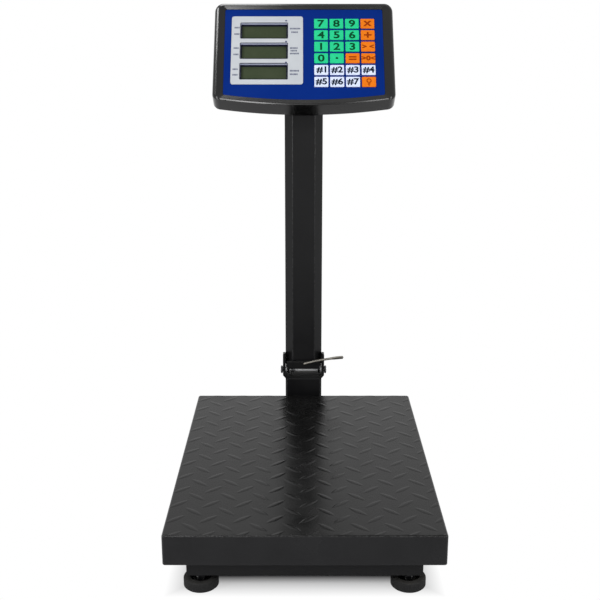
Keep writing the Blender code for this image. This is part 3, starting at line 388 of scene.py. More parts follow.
class EffectGroups:
    """The shader effects that several finishes share, each a node group that is built once."""

    def __init__(self) -> None:
        """Builds the groups."""
        self.textures = {Texture.SKIN: self.paint_skin(), Texture.DRAWN: self.drawn_metal()}
        self.rub = self.edge_rub()
        self.dust = self.settled_dust()

    @staticmethod
    def new(name: str, inputs: tuple[str, ...], outputs: tuple[str, ...]) -> tuple:
        """Starts a group.

        Args:
            name: the group's name.
            inputs: names of its inputs; Vector is a place and the others are values.
            outputs: names of its outputs, all values.

        Returns:
            The sketch of its tree, and its input and output ends.
        """
        tree = bpy.data.node_groups.new(name, "ShaderNodeTree")
        for title in inputs:
            kind = "NodeSocketVector" if title == "Vector" else "NodeSocketFloat"
            tree.interface.new_socket(name=title, in_out="INPUT", socket_type=kind)
        for title in outputs:
            tree.interface.new_socket(name=title, in_out="OUTPUT", socket_type="NodeSocketFloat")
        sketch = NodeSketch(tree)
        return sketch, sketch.add("NodeGroupInput").outputs, sketch.add("NodeGroupOutput").inputs

    def paint_skin(self) -> bpy.types.NodeTree:
        """Close bumps of two sizes, and wide soft clouds."""
        sketch, given, result = self.new("paint_skin", ("Vector", "Grain", "Drift"), ("Bumps", "Clouds"))
        coarse = sketch.add("TexNoise", {"Vector": given["Vector"], "Scale": given["Grain"], "Detail": 1.5})
        closer = sketch.maths("MULTIPLY", given["Grain"], 2.6)
        fine = sketch.add("TexNoise", {"Vector": given["Vector"], "Scale": closer, "Detail": 1.0})
        larger = sketch.maths("MULTIPLY", coarse.outputs[0], 0.7)
        smaller = sketch.maths("MULTIPLY", fine.outputs[0], 0.3)
        sketch.feed(result["Bumps"], sketch.maths("ADD", larger, smaller))
        clouds = sketch.add("TexNoise", {"Vector": given["Vector"], "Scale": given["Drift"], "Detail": 4.0})
        sketch.feed(result["Clouds"], sketch.spread(clouds.outputs[0], 0.33, 0.67))
        return sketch.tree

    def drawn_metal(self) -> bpy.types.NodeTree:
        """Fine streaks that run along X, and soft clouds."""
        sketch, given, result = self.new("drawn_metal", ("Vector", "Grain", "Drift"), ("Bumps", "Clouds"))
        long = sketch.add("Mapping", {"Vector": given["Vector"], "Scale": (0.03, 1.0, 1.0)})
        streaks = sketch.add("TexNoise", {"Vector": long.outputs[0], "Scale": given["Grain"], "Detail": 3.0})
        sketch.feed(result["Bumps"], streaks.outputs[0])
        clouds = sketch.add("TexNoise", {"Vector": given["Vector"], "Scale": given["Drift"], "Detail": 4.0})
        sketch.feed(result["Clouds"], sketch.spread(clouds.outputs[0], 0.33, 0.67))
        return sketch.tree

    def edge_rub(self) -> bpy.types.NodeTree:
        """Patches along rounded edges where the finish is rubbed; on the bracket paint they also serve as a painted
        edge highlight.
        """
        sketch, given, result = self.new("edge_rub", ("Vector", "Edge", "Amount"), ("Mask",))
        noise = sketch.add("TexNoise", {"Vector": given["Vector"], "Scale": 420.0, "Detail": 3.0})
        patchy = sketch.spread(noise.outputs[0], 0.42, 0.62)
        onset = sketch.spread(given["Edge"], 0.35, 0.95)
        mask = sketch.maths("MULTIPLY", sketch.maths("MULTIPLY", patchy, onset), given["Amount"])
        sketch.feed(result["Mask"], mask)
        return sketch.tree

    def settled_dust(self) -> bpy.types.NodeTree:
        """A thin uneven veil on faces that look up."""
        sketch, given, result = self.new("settled_dust", ("Vector", "Amount"), ("Mask",))
        normal = sketch.add("NewGeometry").outputs["Normal"]
        upward = sketch.spread(sketch.add("SeparateXYZ", {0: normal}).outputs[2], 0.55, 1.0)
        noise = sketch.add("TexNoise", {"Vector": given["Vector"], "Scale": 55.0, "Detail": 6.0})
        veil = sketch.spread(noise.outputs[0], 0.3, 0.75)
        sketch.feed(result["Mask"], sketch.maths("MULTIPLY", sketch.maths("MULTIPLY", upward, veil), given["Amount"]))
        return sketch.tree


def linear(colour: Colour) -> tuple[float, float, float, float]:
    """An sRGB colour of 0 to 255 as the linear colour that a shader takes."""
    share = np.asarray(colour, float) / 255
    value = np.where(share <= 0.04045, share / 12.92, ((share + 0.055) / 1.055) ** 2.4)
    return (*(float(v) for v in value), 1.0)


@dataclass(frozen=True)
class Finish:
    """One surface finish.

    Attributes:
        name: the material's name.
        slot: the record's material slot.
        colour: main colour, sRGB.
        shade: colour that drifts into it in soft clouds, sRGB.
        roughness: least and most roughness.
        grain: size of its bumps, in mm.
        relief: height of its bumps, in mm.
        texture: kind of surface.
        metallic: set on the shader.
        specular: specular level, set on the shader.
        coat: clear coat, set on the shader.
        worn: colour of rubbed edges, sRGB; on the bracket paint partly a painted highlight along its edges.
        rub: how much the edges are rubbed, 0 to 1; on the bracket paint partly a painted edge highlight.
        dust: how much dust lies on it, 0 to 1.
        drift: size of the clouds, in mm.
        upper: colour of faces that look up, sRGB, where it differs; a painted shade that darkens tops, not a different
            paint.
    """

    name: str
    slot: str
    colour: Colour
    shade: Colour
    roughness: tuple[float, float]
    grain: float = 0.8
    relief: float = 0.01
    texture: Texture = Texture.SKIN
    metallic: float = 0.0
    specular: float = 0.3
    coat: float = 0.0
    worn: Colour = (120, 120, 120)
    rub: float = 0.0
    dust: float = 0.0
    drift: float = 40.0
    upper: Colour | None = None

    def material(self, groups: EffectGroups) -> bpy.types.Material:
        """The finish as a material.

        Args:
            groups: the shared effects.

        Returns:
            A new material.
        """
        made = bpy.data.materials.new(self.name)
        made.use_nodes = True
        sketch = NodeSketch(made.node_tree)
        place = sketch.add("TexCoord").outputs["Object"]
        scale = {"Vector": place, "Grain": 1000 / self.grain, "Drift": 1000 / self.drift}
        skin = sketch.add("Group", scale, node_tree=groups.textures[self.texture]).outputs
        colour = sketch.mix(skin["Clouds"], linear(self.colour), linear(self.shade))
        # painted shade: faces that look up blend into the darker upper colour, standing in for a top that lies darker
        # under the light
        if self.upper:
            shaded_top_facing = sketch.add("SeparateXYZ", {0: sketch.add("NewGeometry").outputs["Normal"]}).outputs[2]
            colour = sketch.mix(sketch.spread(shaded_top_facing, 0.3, 0.9), colour, linear(self.upper))
        # rubbed edges: wear, and on the bracket paint partly a painted highlight where light catches the edges
        if self.rub:
            edge = sketch.add("Attribute", attribute_name="edge").outputs["Fac"]
            given = {"Vector": place, "Edge": edge, "Amount": self.rub}
            rubbed = sketch.add("Group", given, node_tree=groups.rub).outputs["Mask"]
            colour = sketch.mix(rubbed, colour, linear(self.worn))
        rough = sketch.spread(skin["Clouds"], 0.0, 1.0, self.roughness)
        if self.dust:
            given = {"Vector": place, "Amount": self.dust}
            veil = sketch.add("Group", given, node_tree=groups.dust).outputs["Mask"]
            colour = sketch.mix(veil, colour, linear((128, 124, 118)))
            rough = sketch.maths("MAXIMUM", rough, veil)
        bump = sketch.add("Bump", {"Height": skin["Bumps"], "Strength": 1.0, "Distance": self.relief * MM})
        shader = sketch.add(
            "BsdfPrincipled",
            {
                "Base Color": colour,
                "Roughness": rough,
                "Normal": bump.outputs[0],
                "Metallic": self.metallic,
                "Specular IOR Level": self.specular,
                "Coat Weight": self.coat,
            },
        )
        sketch.add("OutputMaterial", {"Surface": shader.outputs[0]})
        return made


# upper is a painted shade: the pan's top and its bars are painted darker than its sides, though the paint is the same
# all over
PAN_PAINT = Finish(
    "pan_paint", "black_paint", (25, 25, 26), (29, 29, 30), (0.2, 0.29), grain=0.8, relief=0.008,
    specular=0.17, worn=(70, 70, 70), rub=0.3, upper=(9, 9, 9),
)
FRAME_PAINT = Finish(
    "frame_paint", "black_paint", (15, 15, 16), (18, 18, 19), (0.42, 0.55), grain=0.9, relief=0.02,
    specular=0.17, worn=(60, 60, 60), rub=0.35, dust=0.03,
)
COLUMN_PAINT = Finish(
    "column_paint", "black_paint", (12, 12, 13), (15, 15, 16), (0.3, 0.42), grain=1.1, relief=0.05,
    specular=0.19, worn=(74, 74, 75), rub=0.3,
)
# painted highlight: the bracket's light worn colour and heavy rub are partly real wear and partly a painted highlight
# along its edges
BRACKET_PAINT_RUB_AND_SHEEN = Finish(
    "bracket_paint_rub_and_sheen", "black_paint", (9, 9, 9), (13, 13, 13), (0.34, 0.46), grain=1.2, relief=0.012,
    specular=0.3, worn=(112, 110, 106), rub=0.8,
)
BEZEL_PLASTIC = Finish(
    "bezel_plastic", "black_plastic", (9, 9, 9), (11, 11, 11), (0.14, 0.19), grain=0.5, relief=0.0006,
    specular=0.32,
)
BACK_PLASTIC = Finish(
    "back_plastic", "black_plastic", (18, 18, 18), (22, 22, 22), (0.4, 0.52), grain=0.5, relief=0.018,
    specular=0.22, dust=0.03,
)
SWITCH_PLASTIC = Finish(
    "switch_plastic", "switch_plastic", (20, 20, 21), (25, 25, 26), (0.28, 0.36), grain=0.4, relief=0.003,
)
FOOT_RUBBER = Finish(
    "foot_rubber", "rubber", (24, 24, 24), (31, 31, 31), (0.68, 0.85), grain=0.5, relief=0.03, specular=0.2,
    dust=0.12, drift=12,
)
# painted sheen: a near-white, mostly non-metallic colour lights the rod and pin brightly by diffuse light, standing in
# for the bright reflection of the steel
BRIGHT_STEEL_PAINTED_SHEEN = Finish(
    "bright_steel", "bright_steel", (246, 247, 247), (234, 235, 235), (0.26, 0.36), grain=0.25, relief=0.003,
    texture=Texture.DRAWN, metallic=0.2, specular=0.5, drift=8,
)
HANDLE_STEEL = Finish(
    "handle_steel", "bright_steel", (124, 121, 114), (100, 97, 91), (0.36, 0.5), grain=0.35, relief=0.006,
    texture=Texture.DRAWN, metallic=0.85, specular=0.5, drift=6,
)
SPRING_STEEL = Finish(
    "spring_steel", "bright_steel", (86, 86, 88), (62, 62, 64), (0.26, 0.4), grain=0.2, relief=0.003,
    texture=Texture.DRAWN, metallic=1.0, specular=0.5, drift=4,
)
DARK_STEEL = Finish(
    "dark_steel", "dark_steel", (50, 50, 52), (38, 38, 40), (0.3, 0.45), grain=0.4, relief=0.004,
    metallic=0.9, specular=0.5, worn=(150, 150, 150), rub=0.6, drift=5,
)
CELL_ALUMINIUM = Finish(
    "cell_aluminium", "aluminium", (186, 188, 190), (168, 170, 172), (0.32, 0.45), grain=0.3, relief=0.004,
    texture=Texture.DRAWN, metallic=1.0, specular=0.5, drift=20,
)
BLUE_FILM = Finish(
    "blue_film", "blue_film", (4, 36, 111), (6, 39, 115), (0.42, 0.5), grain=0.3, relief=0.002,
    specular=0.03, drift=60,
)
SILVER_PANEL = Finish(
    "silver_panel", "silver_panel", (184, 188, 192), (178, 182, 187), (0.4, 0.5), grain=0.3, relief=0.002,
    specular=0.1, drift=30,
)
WINDOW_LIP = Finish(
    "window_lip", "silver_panel", (178, 183, 204), (168, 174, 196), (0.4, 0.5), grain=0.3, relief=0.002,
    specular=0.2,
)
# the dark border colour also paints the thin shade line round each window on the panel
LCD_BORDER_AND_EDGE_SHADE = Finish(
    "lcd_border", "lcd_glass", (16, 18, 34), (20, 22, 38), (0.35, 0.45), grain=0.3, relief=0.001, specular=0.06,
)
LCD_GLASS = Finish(
    "lcd_glass", "lcd_glass", (60, 68, 50), (54, 63, 45), (0.22, 0.3), grain=0.25, relief=0.001,
    specular=0.05, drift=18,
)
BOARD_GREEN = Finish("board_green", "board_green", (24, 74, 44), (30, 84, 50), (0.4, 0.5), grain=1.5)
BATTERY_CASE = Finish("battery_case", "battery_case", (48, 49, 52), (54, 55, 58), (0.5, 0.6), grain=0.6)
KEY_GREEN = Finish(
    "key_green", "key_green", (36, 190, 130), (41, 195, 135), (0.4, 0.5), grain=0.3, relief=0.002,
    specular=0.05, drift=9,
)
KEY_ORANGE = Finish(
    "key_orange", "key_orange", (218, 111, 19), (222, 117, 25), (0.4, 0.5), grain=0.3, relief=0.002,
    specular=0.05, drift=9,
)
KEY_WHITE = Finish(
    "key_white", "key_white", (209, 218, 240), (203, 213, 236), (0.4, 0.5), grain=0.3, relief=0.002,
    specular=0.05, drift=9,
)
GREEN_INK = Finish("green_ink", "key_green", (3, 62, 33), (5, 68, 36), (0.5, 0.6), relief=0.001, specular=0.04)
ORANGE_INK = Finish("orange_ink", "key_orange", (134, 46, 3), (142, 52, 5), (0.5, 0.6), relief=0.001, specular=0.04)
WHITE_INK = Finish("white_ink", "key_white", (14, 24, 40), (18, 30, 46), (0.5, 0.6), relief=0.001, specular=0.04)
PANEL_INK = Finish("panel_ink", "silver_panel", (70, 74, 100), (78, 82, 108), (0.5, 0.6), relief=0.001, specular=0.04)


class Bench:
    """Turns shapes into dressed pieces that ride on the frame's bodies."""

    def __init__(self) -> None:
        """Builds the shared effects and starts with no materials."""
        self.groups = EffectGroups()
        self.materials: dict[str, bpy.types.Material] = {}

    def material(self, finish: Finish) -> bpy.types.Material:
        """The finish's material, made the first time that it is asked for."""
        if finish.name not in self.materials:
            self.materials[finish.name] = finish.material(self.groups)
        return self.materials[finish.name]

    def settle(
        self, piece: bpy.types.Object, finish: Finish, body: str, nodes: tuple[str, ...]
    ) -> bpy.types.Object:
        """Dresses a piece and sets it on its body.

        Args:
            piece: the finished object.
            finish: its finish.
            body: the body that it moves with.
            nodes: the frame's nodes that it stands for.

        Returns:
            The piece.
        """
        piece.data.materials.clear()
        piece.data.materials.append(self.material(finish))
        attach(piece, body)
        if nodes:
            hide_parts(*nodes)
        LOG.info("piece %s rides on %s in %s", piece.name, body, finish.name)
        return piece

    def make(self, name: str, shape: Shape) -> bpy.types.Object:
        """A shape as a smooth mesh object, its doubles merged and its faces turned outwards.

        Args:
            name: the piece's name.
            shape: its points and faces.

        Returns:
            The object, linked to the scene.
        """
        mesh = bpy.data.meshes.new(name)
        mesh.from_pydata(shape.points.tolist(), [], shape.faces)
        mesh.attributes.new("edge", "FLOAT", "POINT").data.foreach_set("value", shape.edge.astype(np.float32))
        drawn = bmesh.new()
        drawn.from_mesh(mesh)
        bmesh.ops.remove_doubles(drawn, verts=drawn.verts, dist=1e-6)
        bmesh.ops.recalc_face_normals(drawn, faces=drawn.faces)
        drawn.to_mesh(mesh)
        drawn.free()
        mesh.shade_smooth()
        mesh.set_sharp_from_angle(angle=math.radians(38))
        piece = bpy.data.objects.new(name, mesh)
        bpy.context.scene.collection.objects.link(piece)
        return piece

    def piece(
        self, name: str, shape: Shape, finish: Finish, body: str, *nodes: str, flat_faces: bool = True
    ) -> bpy.types.Object:
        """Makes and dresses a piece from a shape.

        Args:
            name: the piece's name.
            shape: its points and faces.
            finish: its finish.
            body: the body that it moves with.
            nodes: the frame's nodes that it stands for.
            flat_faces: whether large faces keep their own normals beside rounded edges.

        Returns:
            The piece.
        """
        made = self.make(name, shape)
        if flat_faces:
            self.keep_flat(made)
        return self.settle(made, finish, body, nodes)

    def rounded_copy(
        self, name: str, node: str, finish: Finish, body: str, radius: float, steps: int = 3
    ) -> bpy.types.Object:
        """A copy of a frame node with rounded edges, which stands for the node.

        Args:
            name: the piece's name.
            node: the node that it copies.
            finish: its finish.
            body: the body that it moves with.
            radius: width of the rounding.
            steps: steps across the rounding.

        Returns:
            The piece.
        """
        drawn = bmesh.new()
        drawn.from_mesh(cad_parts[node].data)
        bmesh.ops.remove_doubles(drawn, verts=drawn.verts, dist=1e-6)
        bmesh.ops.dissolve_limit(
            drawn, angle_limit=math.radians(0.5), verts=drawn.verts, edges=drawn.edges, delimit=set()
        )
        sharp = [edge for edge in drawn.edges if edge.calc_face_angle(0.0) > math.radians(32)]
        bmesh.ops.bevel(
            drawn, geom=sharp, offset=radius, segments=steps, profile=0.5, affect="EDGES", clamp_overlap=True,
            loop_slide=True, material=1,
        )
        mesh = bpy.data.meshes.new(name)
        drawn.to_mesh(mesh)
        drawn.free()
        self.mark_rounding(mesh)
        mesh.shade_smooth()
        mesh.set_sharp_from_angle(angle=math.radians(38))
        piece = bpy.data.objects.new(name, mesh)
        bpy.context.scene.collection.objects.link(piece)
        self.keep_flat(piece)
        return self.settle(piece, finish, body, (node,))

    @staticmethod
    def mark_rounding(mesh: bpy.types.Mesh) -> None:
        """Gives each point that only rounding faces meet an edge value of 1, and every other point 0."""
        rounding, sizes = np.empty(len(mesh.polygons), np.int32), np.empty(len(mesh.polygons), np.int32)
        mesh.polygons.foreach_get("material_index", rounding)
        mesh.polygons.foreach_get("loop_total", sizes)
        corners = np.empty(len(mesh.loops), np.int32)
        mesh.loops.foreach_get("vertex_index", corners)
        edge = np.ones(len(mesh.vertices), np.float32)
        np.minimum.at(edge, corners, np.repeat(rounding, sizes).astype(np.float32))
        mesh.attributes.new("edge", "FLOAT", "POINT").data.foreach_set("value", edge)
        mesh.polygons.foreach_set("material_index", np.zeros_like(rounding))

    @staticmethod
    def keep_flat(piece: bpy.types.Object) -> None:
        """Lets large faces keep their own normals beside rounded edges."""
        weighted = piece.modifiers.new("flat_faces", "WEIGHTED_NORMAL")
        weighted.weight = 100
        weighted.keep_sharp = True

    def dress(self, node: str, finish: Finish) -> None:
        """Gives a frame node that stays in sight its finish."""
        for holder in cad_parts[node].material_slots:
            holder.material = self.material(finish)
        LOG.info("node %s in %s", node, finish.name)


@dataclass
class Platform:
    """The tread pan: a sheet with turned-down sides and rows of raised lens bars on its top."""

    width: float = 300 * MM
    depth: float = 400 * MM
    top: float = 72 * MM
    skirt: float = 34.3 * MM
    sheet: float = 2 * MM
    bend: float = 2.2 * MM
    corner: float = 3.5 * MM
    centre_y: float = -45 * MM
    pitch_x: float = 36 * MM
    pitch_y: float = 34.8 * MM
    first_x: float = 22.3 * MM
    first_y: float = -17.7 * MM
    lean: float = math.radians(42)
    bar_length: float = 28.5 * MM
    bar_width: float = 7.2 * MM
    bar_height: float = 0.26 * MM

    def sheet_shape(self) -> Shape:
        """The bent sheet: a rounded rectangle drawn in and raised along the sheet's section, outside then inside."""
        bottom, under = self.top - self.skirt, self.top - self.sheet
        flat = 8 * MM
        section, worn = fillet(
            [(flat, self.top), (0, self.top), (0, bottom), (self.sheet, bottom), (self.sheet, under), (flat, under)],
            [0, self.bend, 0.5 * MM, 0.5 * MM, 0.8 * MM, 0],
            6,
            closed=False,
        )
        rings = []
        for inset, height in section:
            radius = max(self.corner - inset, 0.8 * MM)
            ring = rounded_rectangle(self.width - 2 * inset, self.depth - 2 * inset, radius, 6)
            rings.append(np.column_stack([ring[:, 0], ring[:, 1] + self.centre_y, np.full(len(ring), height)]))
        return loft(np.stack(rings), worn)

    def tread_shape(self) -> Shape:
        """The raised bars.

        Along a bar, from -1 to 1, its half width and height fall as one less the square. Across it the height
        falls as one less the square too, and the section closes just under the sheet. Bars that lean one way
        stand on a grid, and bars that lean the other way stand in the middles of its cells, so that each bar
        points at the middle of the next. Bars at the rim stop where the sheet begins to bend.

        Returns:
            All the bars as one shape.
        """
        along = np.linspace(-1, 1, 11)[:, None]
        across = np.array([-1, -0.66, -0.33, 0, 0.33, 0.66, 1, 0])[None]
        under = np.array([0, 0, 0, 0, 0, 0, 0, 1.0])[None]
        taper = 1 - along**2
        rise = self.bar_height * taper**0.7 * (1 - across**2) * (1 - under) - 0.3 * MM * under
        bar = np.stack(
            [
                np.broadcast_to(along * self.bar_length / 2, rise.shape),
                taper * self.bar_width / 2 * across,
                rise,
            ],
            axis=-1,
        )
        half_x, half_y = self.width / 2 - self.bend, self.depth / 2 - self.bend
        row, column, kind = np.meshgrid(np.arange(-7, 8), np.arange(-6, 7), np.arange(2), indexing="ij")
        lean = np.where(kind == 0, -self.lean, self.lean).ravel()
        middle = np.stack(
            [
                self.first_x + (column - kind / 2).ravel() * self.pitch_x,
                self.first_y - self.centre_y + (row + kind / 2).ravel() * self.pitch_y,
            ],
            axis=-1,
        )
        inside = (np.abs(middle[:, 0]) < half_x + 4 * MM) & (np.abs(middle[:, 1]) < half_y + 4 * MM)
        lean, middle = lean[inside], middle[inside]
        turn = np.stack([np.cos(lean), -np.sin(lean), np.sin(lean), np.cos(lean)], axis=-1).reshape(-1, 2, 2)
        plan = np.einsum("nij,rcj->nrci", turn, bar[..., :2]) + middle[:, None, None]
        plan = np.clip(plan, (-half_x, -half_y), (half_x, half_y)) + (0, self.centre_y)
        height = np.broadcast_to(bar[None, ..., 2:] + self.top, (*plan.shape[:3], 1))
        points = np.concatenate([plan, height], axis=-1).reshape(-1, 3)
        count = bar.shape[0] * bar.shape[1]
        faces = grid_faces(*bar.shape[:2], False, True)[None] + (np.arange(len(lean)) * count)[:, None, None]
        return Shape(points, faces.reshape(-1, 4).tolist(), np.zeros(len(points)))

    def build(self, bench: Bench) -> None:
        """Makes the sheet and its bars."""
        bench.piece("pan_sheet", self.sheet_shape(), PAN_PAINT, "pan", "pan")
        bench.piece("tread_bars", self.tread_shape(), PAN_PAINT, "pan", flat_faces=False)


@dataclass
class BaseFrame:
    """The tube frame under the pan, with its load cell and the frame that the cell carries."""

    tube_round: float = 1.6 * MM
    cell_round: float = 0.6 * MM
    bolt_flats: float = 10 * MM
    cell_bolt_x: float = 9 * MM
    cell_bolt_y: float = 54 * MM

    def build(self, bench: Bench) -> None:
        """Rounds the frames' edges, dresses the cell and adds its bolts."""
        bench.rounded_copy("base_tubes", "base_frame", FRAME_PAINT, "base", self.tube_round)
        bench.rounded_copy("weigh_tubes", "weigh_frame", FRAME_PAINT, "base", self.tube_round)
        bench.rounded_copy("cell_block", "load_cell", CELL_ALUMINIUM, "base", self.cell_round)
        bench.dress("cell_spacer", DARK_STEEL)
        low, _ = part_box("base_frame")
        heads = [
            nut(self.bolt_flats, low.z - 4 * MM, low.z + 0.2 * MM, Axis.Z).moved((side * self.cell_bolt_x, y, 0))
            for side in (-1, 1)
            for y in (-45 * MM + self.cell_bolt_y, -45 * MM + self.cell_bolt_y - 18 * MM)
        ]
        bench.piece("cell_bolts", Shape.joined(heads), DARK_STEEL, "base")


@dataclass
class Foot:
    """One levelling foot: a dished rubber pad on a threaded stud with a jam nut."""

    number: int
    x: float
    y: float
    radius: float = 19 * MM
    height: float = 11.5 * MM
    dish: float = 7.5 * MM
    stud: float = 4 * MM
    thread: float = 1.25 * MM

    def pad_shape(self) -> Shape:
        """The pad, turned from a section with a round rim, a shallow dish and a boss round the stud."""
        corners = [
            (4 * MM, 0), (17.6 * MM, 0), (self.radius, 1.4 * MM), (self.radius, self.height),
            (12 * MM, self.height), (10.5 * MM, self.dish), (4.3 * MM, self.dish), (4.3 * MM, 4 * MM),
            (1.5 * MM, 4 * MM),
        ]
        radii = [0, 0.6 * MM, 0.8 * MM, 2.2 * MM, 1.4 * MM, 0.9 * MM, 0.3 * MM, 0.2 * MM, 0]
        section, edge = fillet(corners, radii, 5, closed=False)
        return turned(section, Axis.Z, 72, edge).moved((self.x, self.y, 0))

    def stud_shape(self) -> Shape:
        """The stud and its nut: the stud's radius rises and falls once for each pitch of its thread."""
        low, high = 4.4 * MM, 31.6 * MM
        run = np.linspace(low, high, 132)
        phase = (run / self.thread) % 1.0
        radius = self.stud - 0.5 * MM * np.abs(2 * phase - 1)
        rod = turned(np.stack([radius, run], axis=-1), Axis.Z, 32)
        jam = nut(12.6 * MM, self.dish + 0.3 * MM, self.dish + 6.8 * MM, Axis.Z)
        return Shape.joined([rod, jam]).moved((self.x, self.y, 0))

    def build(self, bench: Bench) -> None:
        """Makes the pad and the stud."""
        n = self.number
        bench.piece(f"rubber_pad_{n}", self.pad_shape(), FOOT_RUBBER, f"foot_{n}", f"foot_pad_{n}", flat_faces=False)
        bench.piece(f"threaded_stud_{n}", self.stud_shape(), DARK_STEEL, f"stud_{n}", f"foot_stud_{n}")


@dataclass
class Column:
    """The folding column: a tube with cut corners, the stub under it, its knuckle and the head's yoke."""

    width: float = 52 * MM
    depth: float = 40 * MM
    chamfer: float = 10.5 * MM
    edge: float = 3 * MM
    stub_chamfer: float = 2.5 * MM
    stub_edge: float = 1.2 * MM
    centre_y: float = 200 * MM
    flange_x: float = 68 * MM
    flange_y: float = 56 * MM
    flange: float = 4 * MM

    def post(self, low: float, high: float, cut: float, edge: float) -> Shape:
        """A length of the tube: a rounded eight-sided section carried straight up, drawn in a little at its ends.

        Args:
            low: height of its foot.
            high: height of its top.
            cut: how far its corners are cut back.
            edge: radius of its edges.

        Returns:
            The length.
        """
        x, y = self.width / 2, self.depth / 2
        quarter = [(x, y - cut), (x - cut, y)]
        corners = quarter + [(-px, py) for px, py in reversed(quarter)]
        corners += [(-px, -py) for px, py in quarter] + [(px, -py) for px, py in reversed(quarter)]
        section, worn = fillet(corners, edge, 6)
        lip = 0.4 * MM
        levels = np.array([low, low + lip, low + 3 * lip, high - 3 * lip, high - lip, high])
        shrink = np.array([1 - lip / x, 1, 1, 1, 1, 1 - lip / x])
        plan = section[None] * shrink[:, None, None] + (0, self.centre_y)
        rows = np.broadcast_to(levels[:, None], plan.shape[:2])
        return loft(np.concatenate([plan, rows[..., None]], axis=-1), np.broadcast_to(worn, plan.shape[:2]))

    def build(self, bench: Bench) -> None:
        """Makes the column, the stub with its bolted flange, and rounds the knuckle and the yoke."""
        low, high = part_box("column_tube")
        post = self.post(low.z, high.z, self.chamfer, self.edge)
        bench.piece("column_post", post, COLUMN_PAINT, "column", "column_tube")
        low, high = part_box("column_stub")
        outline = rounded_rectangle(self.flange_x, self.flange_y, 4 * MM)
        plate = slab(outline, low.z, low.z + self.flange, 0.8 * MM, 3 * MM).moved((0, self.centre_y, 0))
        stub = Shape.joined([self.post(low.z, high.z, self.stub_chamfer, self.stub_edge), plate])
        bench.piece("stub_post", stub, COLUMN_PAINT, "base", "column_stub")
        seat = low.z + self.flange
        reach_x, reach_y = self.flange_x / 2 - 5.5 * MM, self.flange_y / 2 - 5.5 * MM
        bolts = [
            nut(7 * MM, seat - 0.2 * MM, seat + 3 * MM, Axis.Z).moved((a * reach_x, self.centre_y + b * reach_y, 0))
            for a in (-1, 1)
            for b in (-1, 1)
        ]
        bench.piece("flange_bolts", Shape.joined(bolts), DARK_STEEL, "base")
        bench.rounded_copy("fold_knuckle", "hinge_knuckle", BRACKET_PAINT_RUB_AND_SHEEN, "column", 0.7 * MM)
        bench.rounded_copy("tilt_yoke", "head_yoke", COLUMN_PAINT, "column", 0.9 * MM)


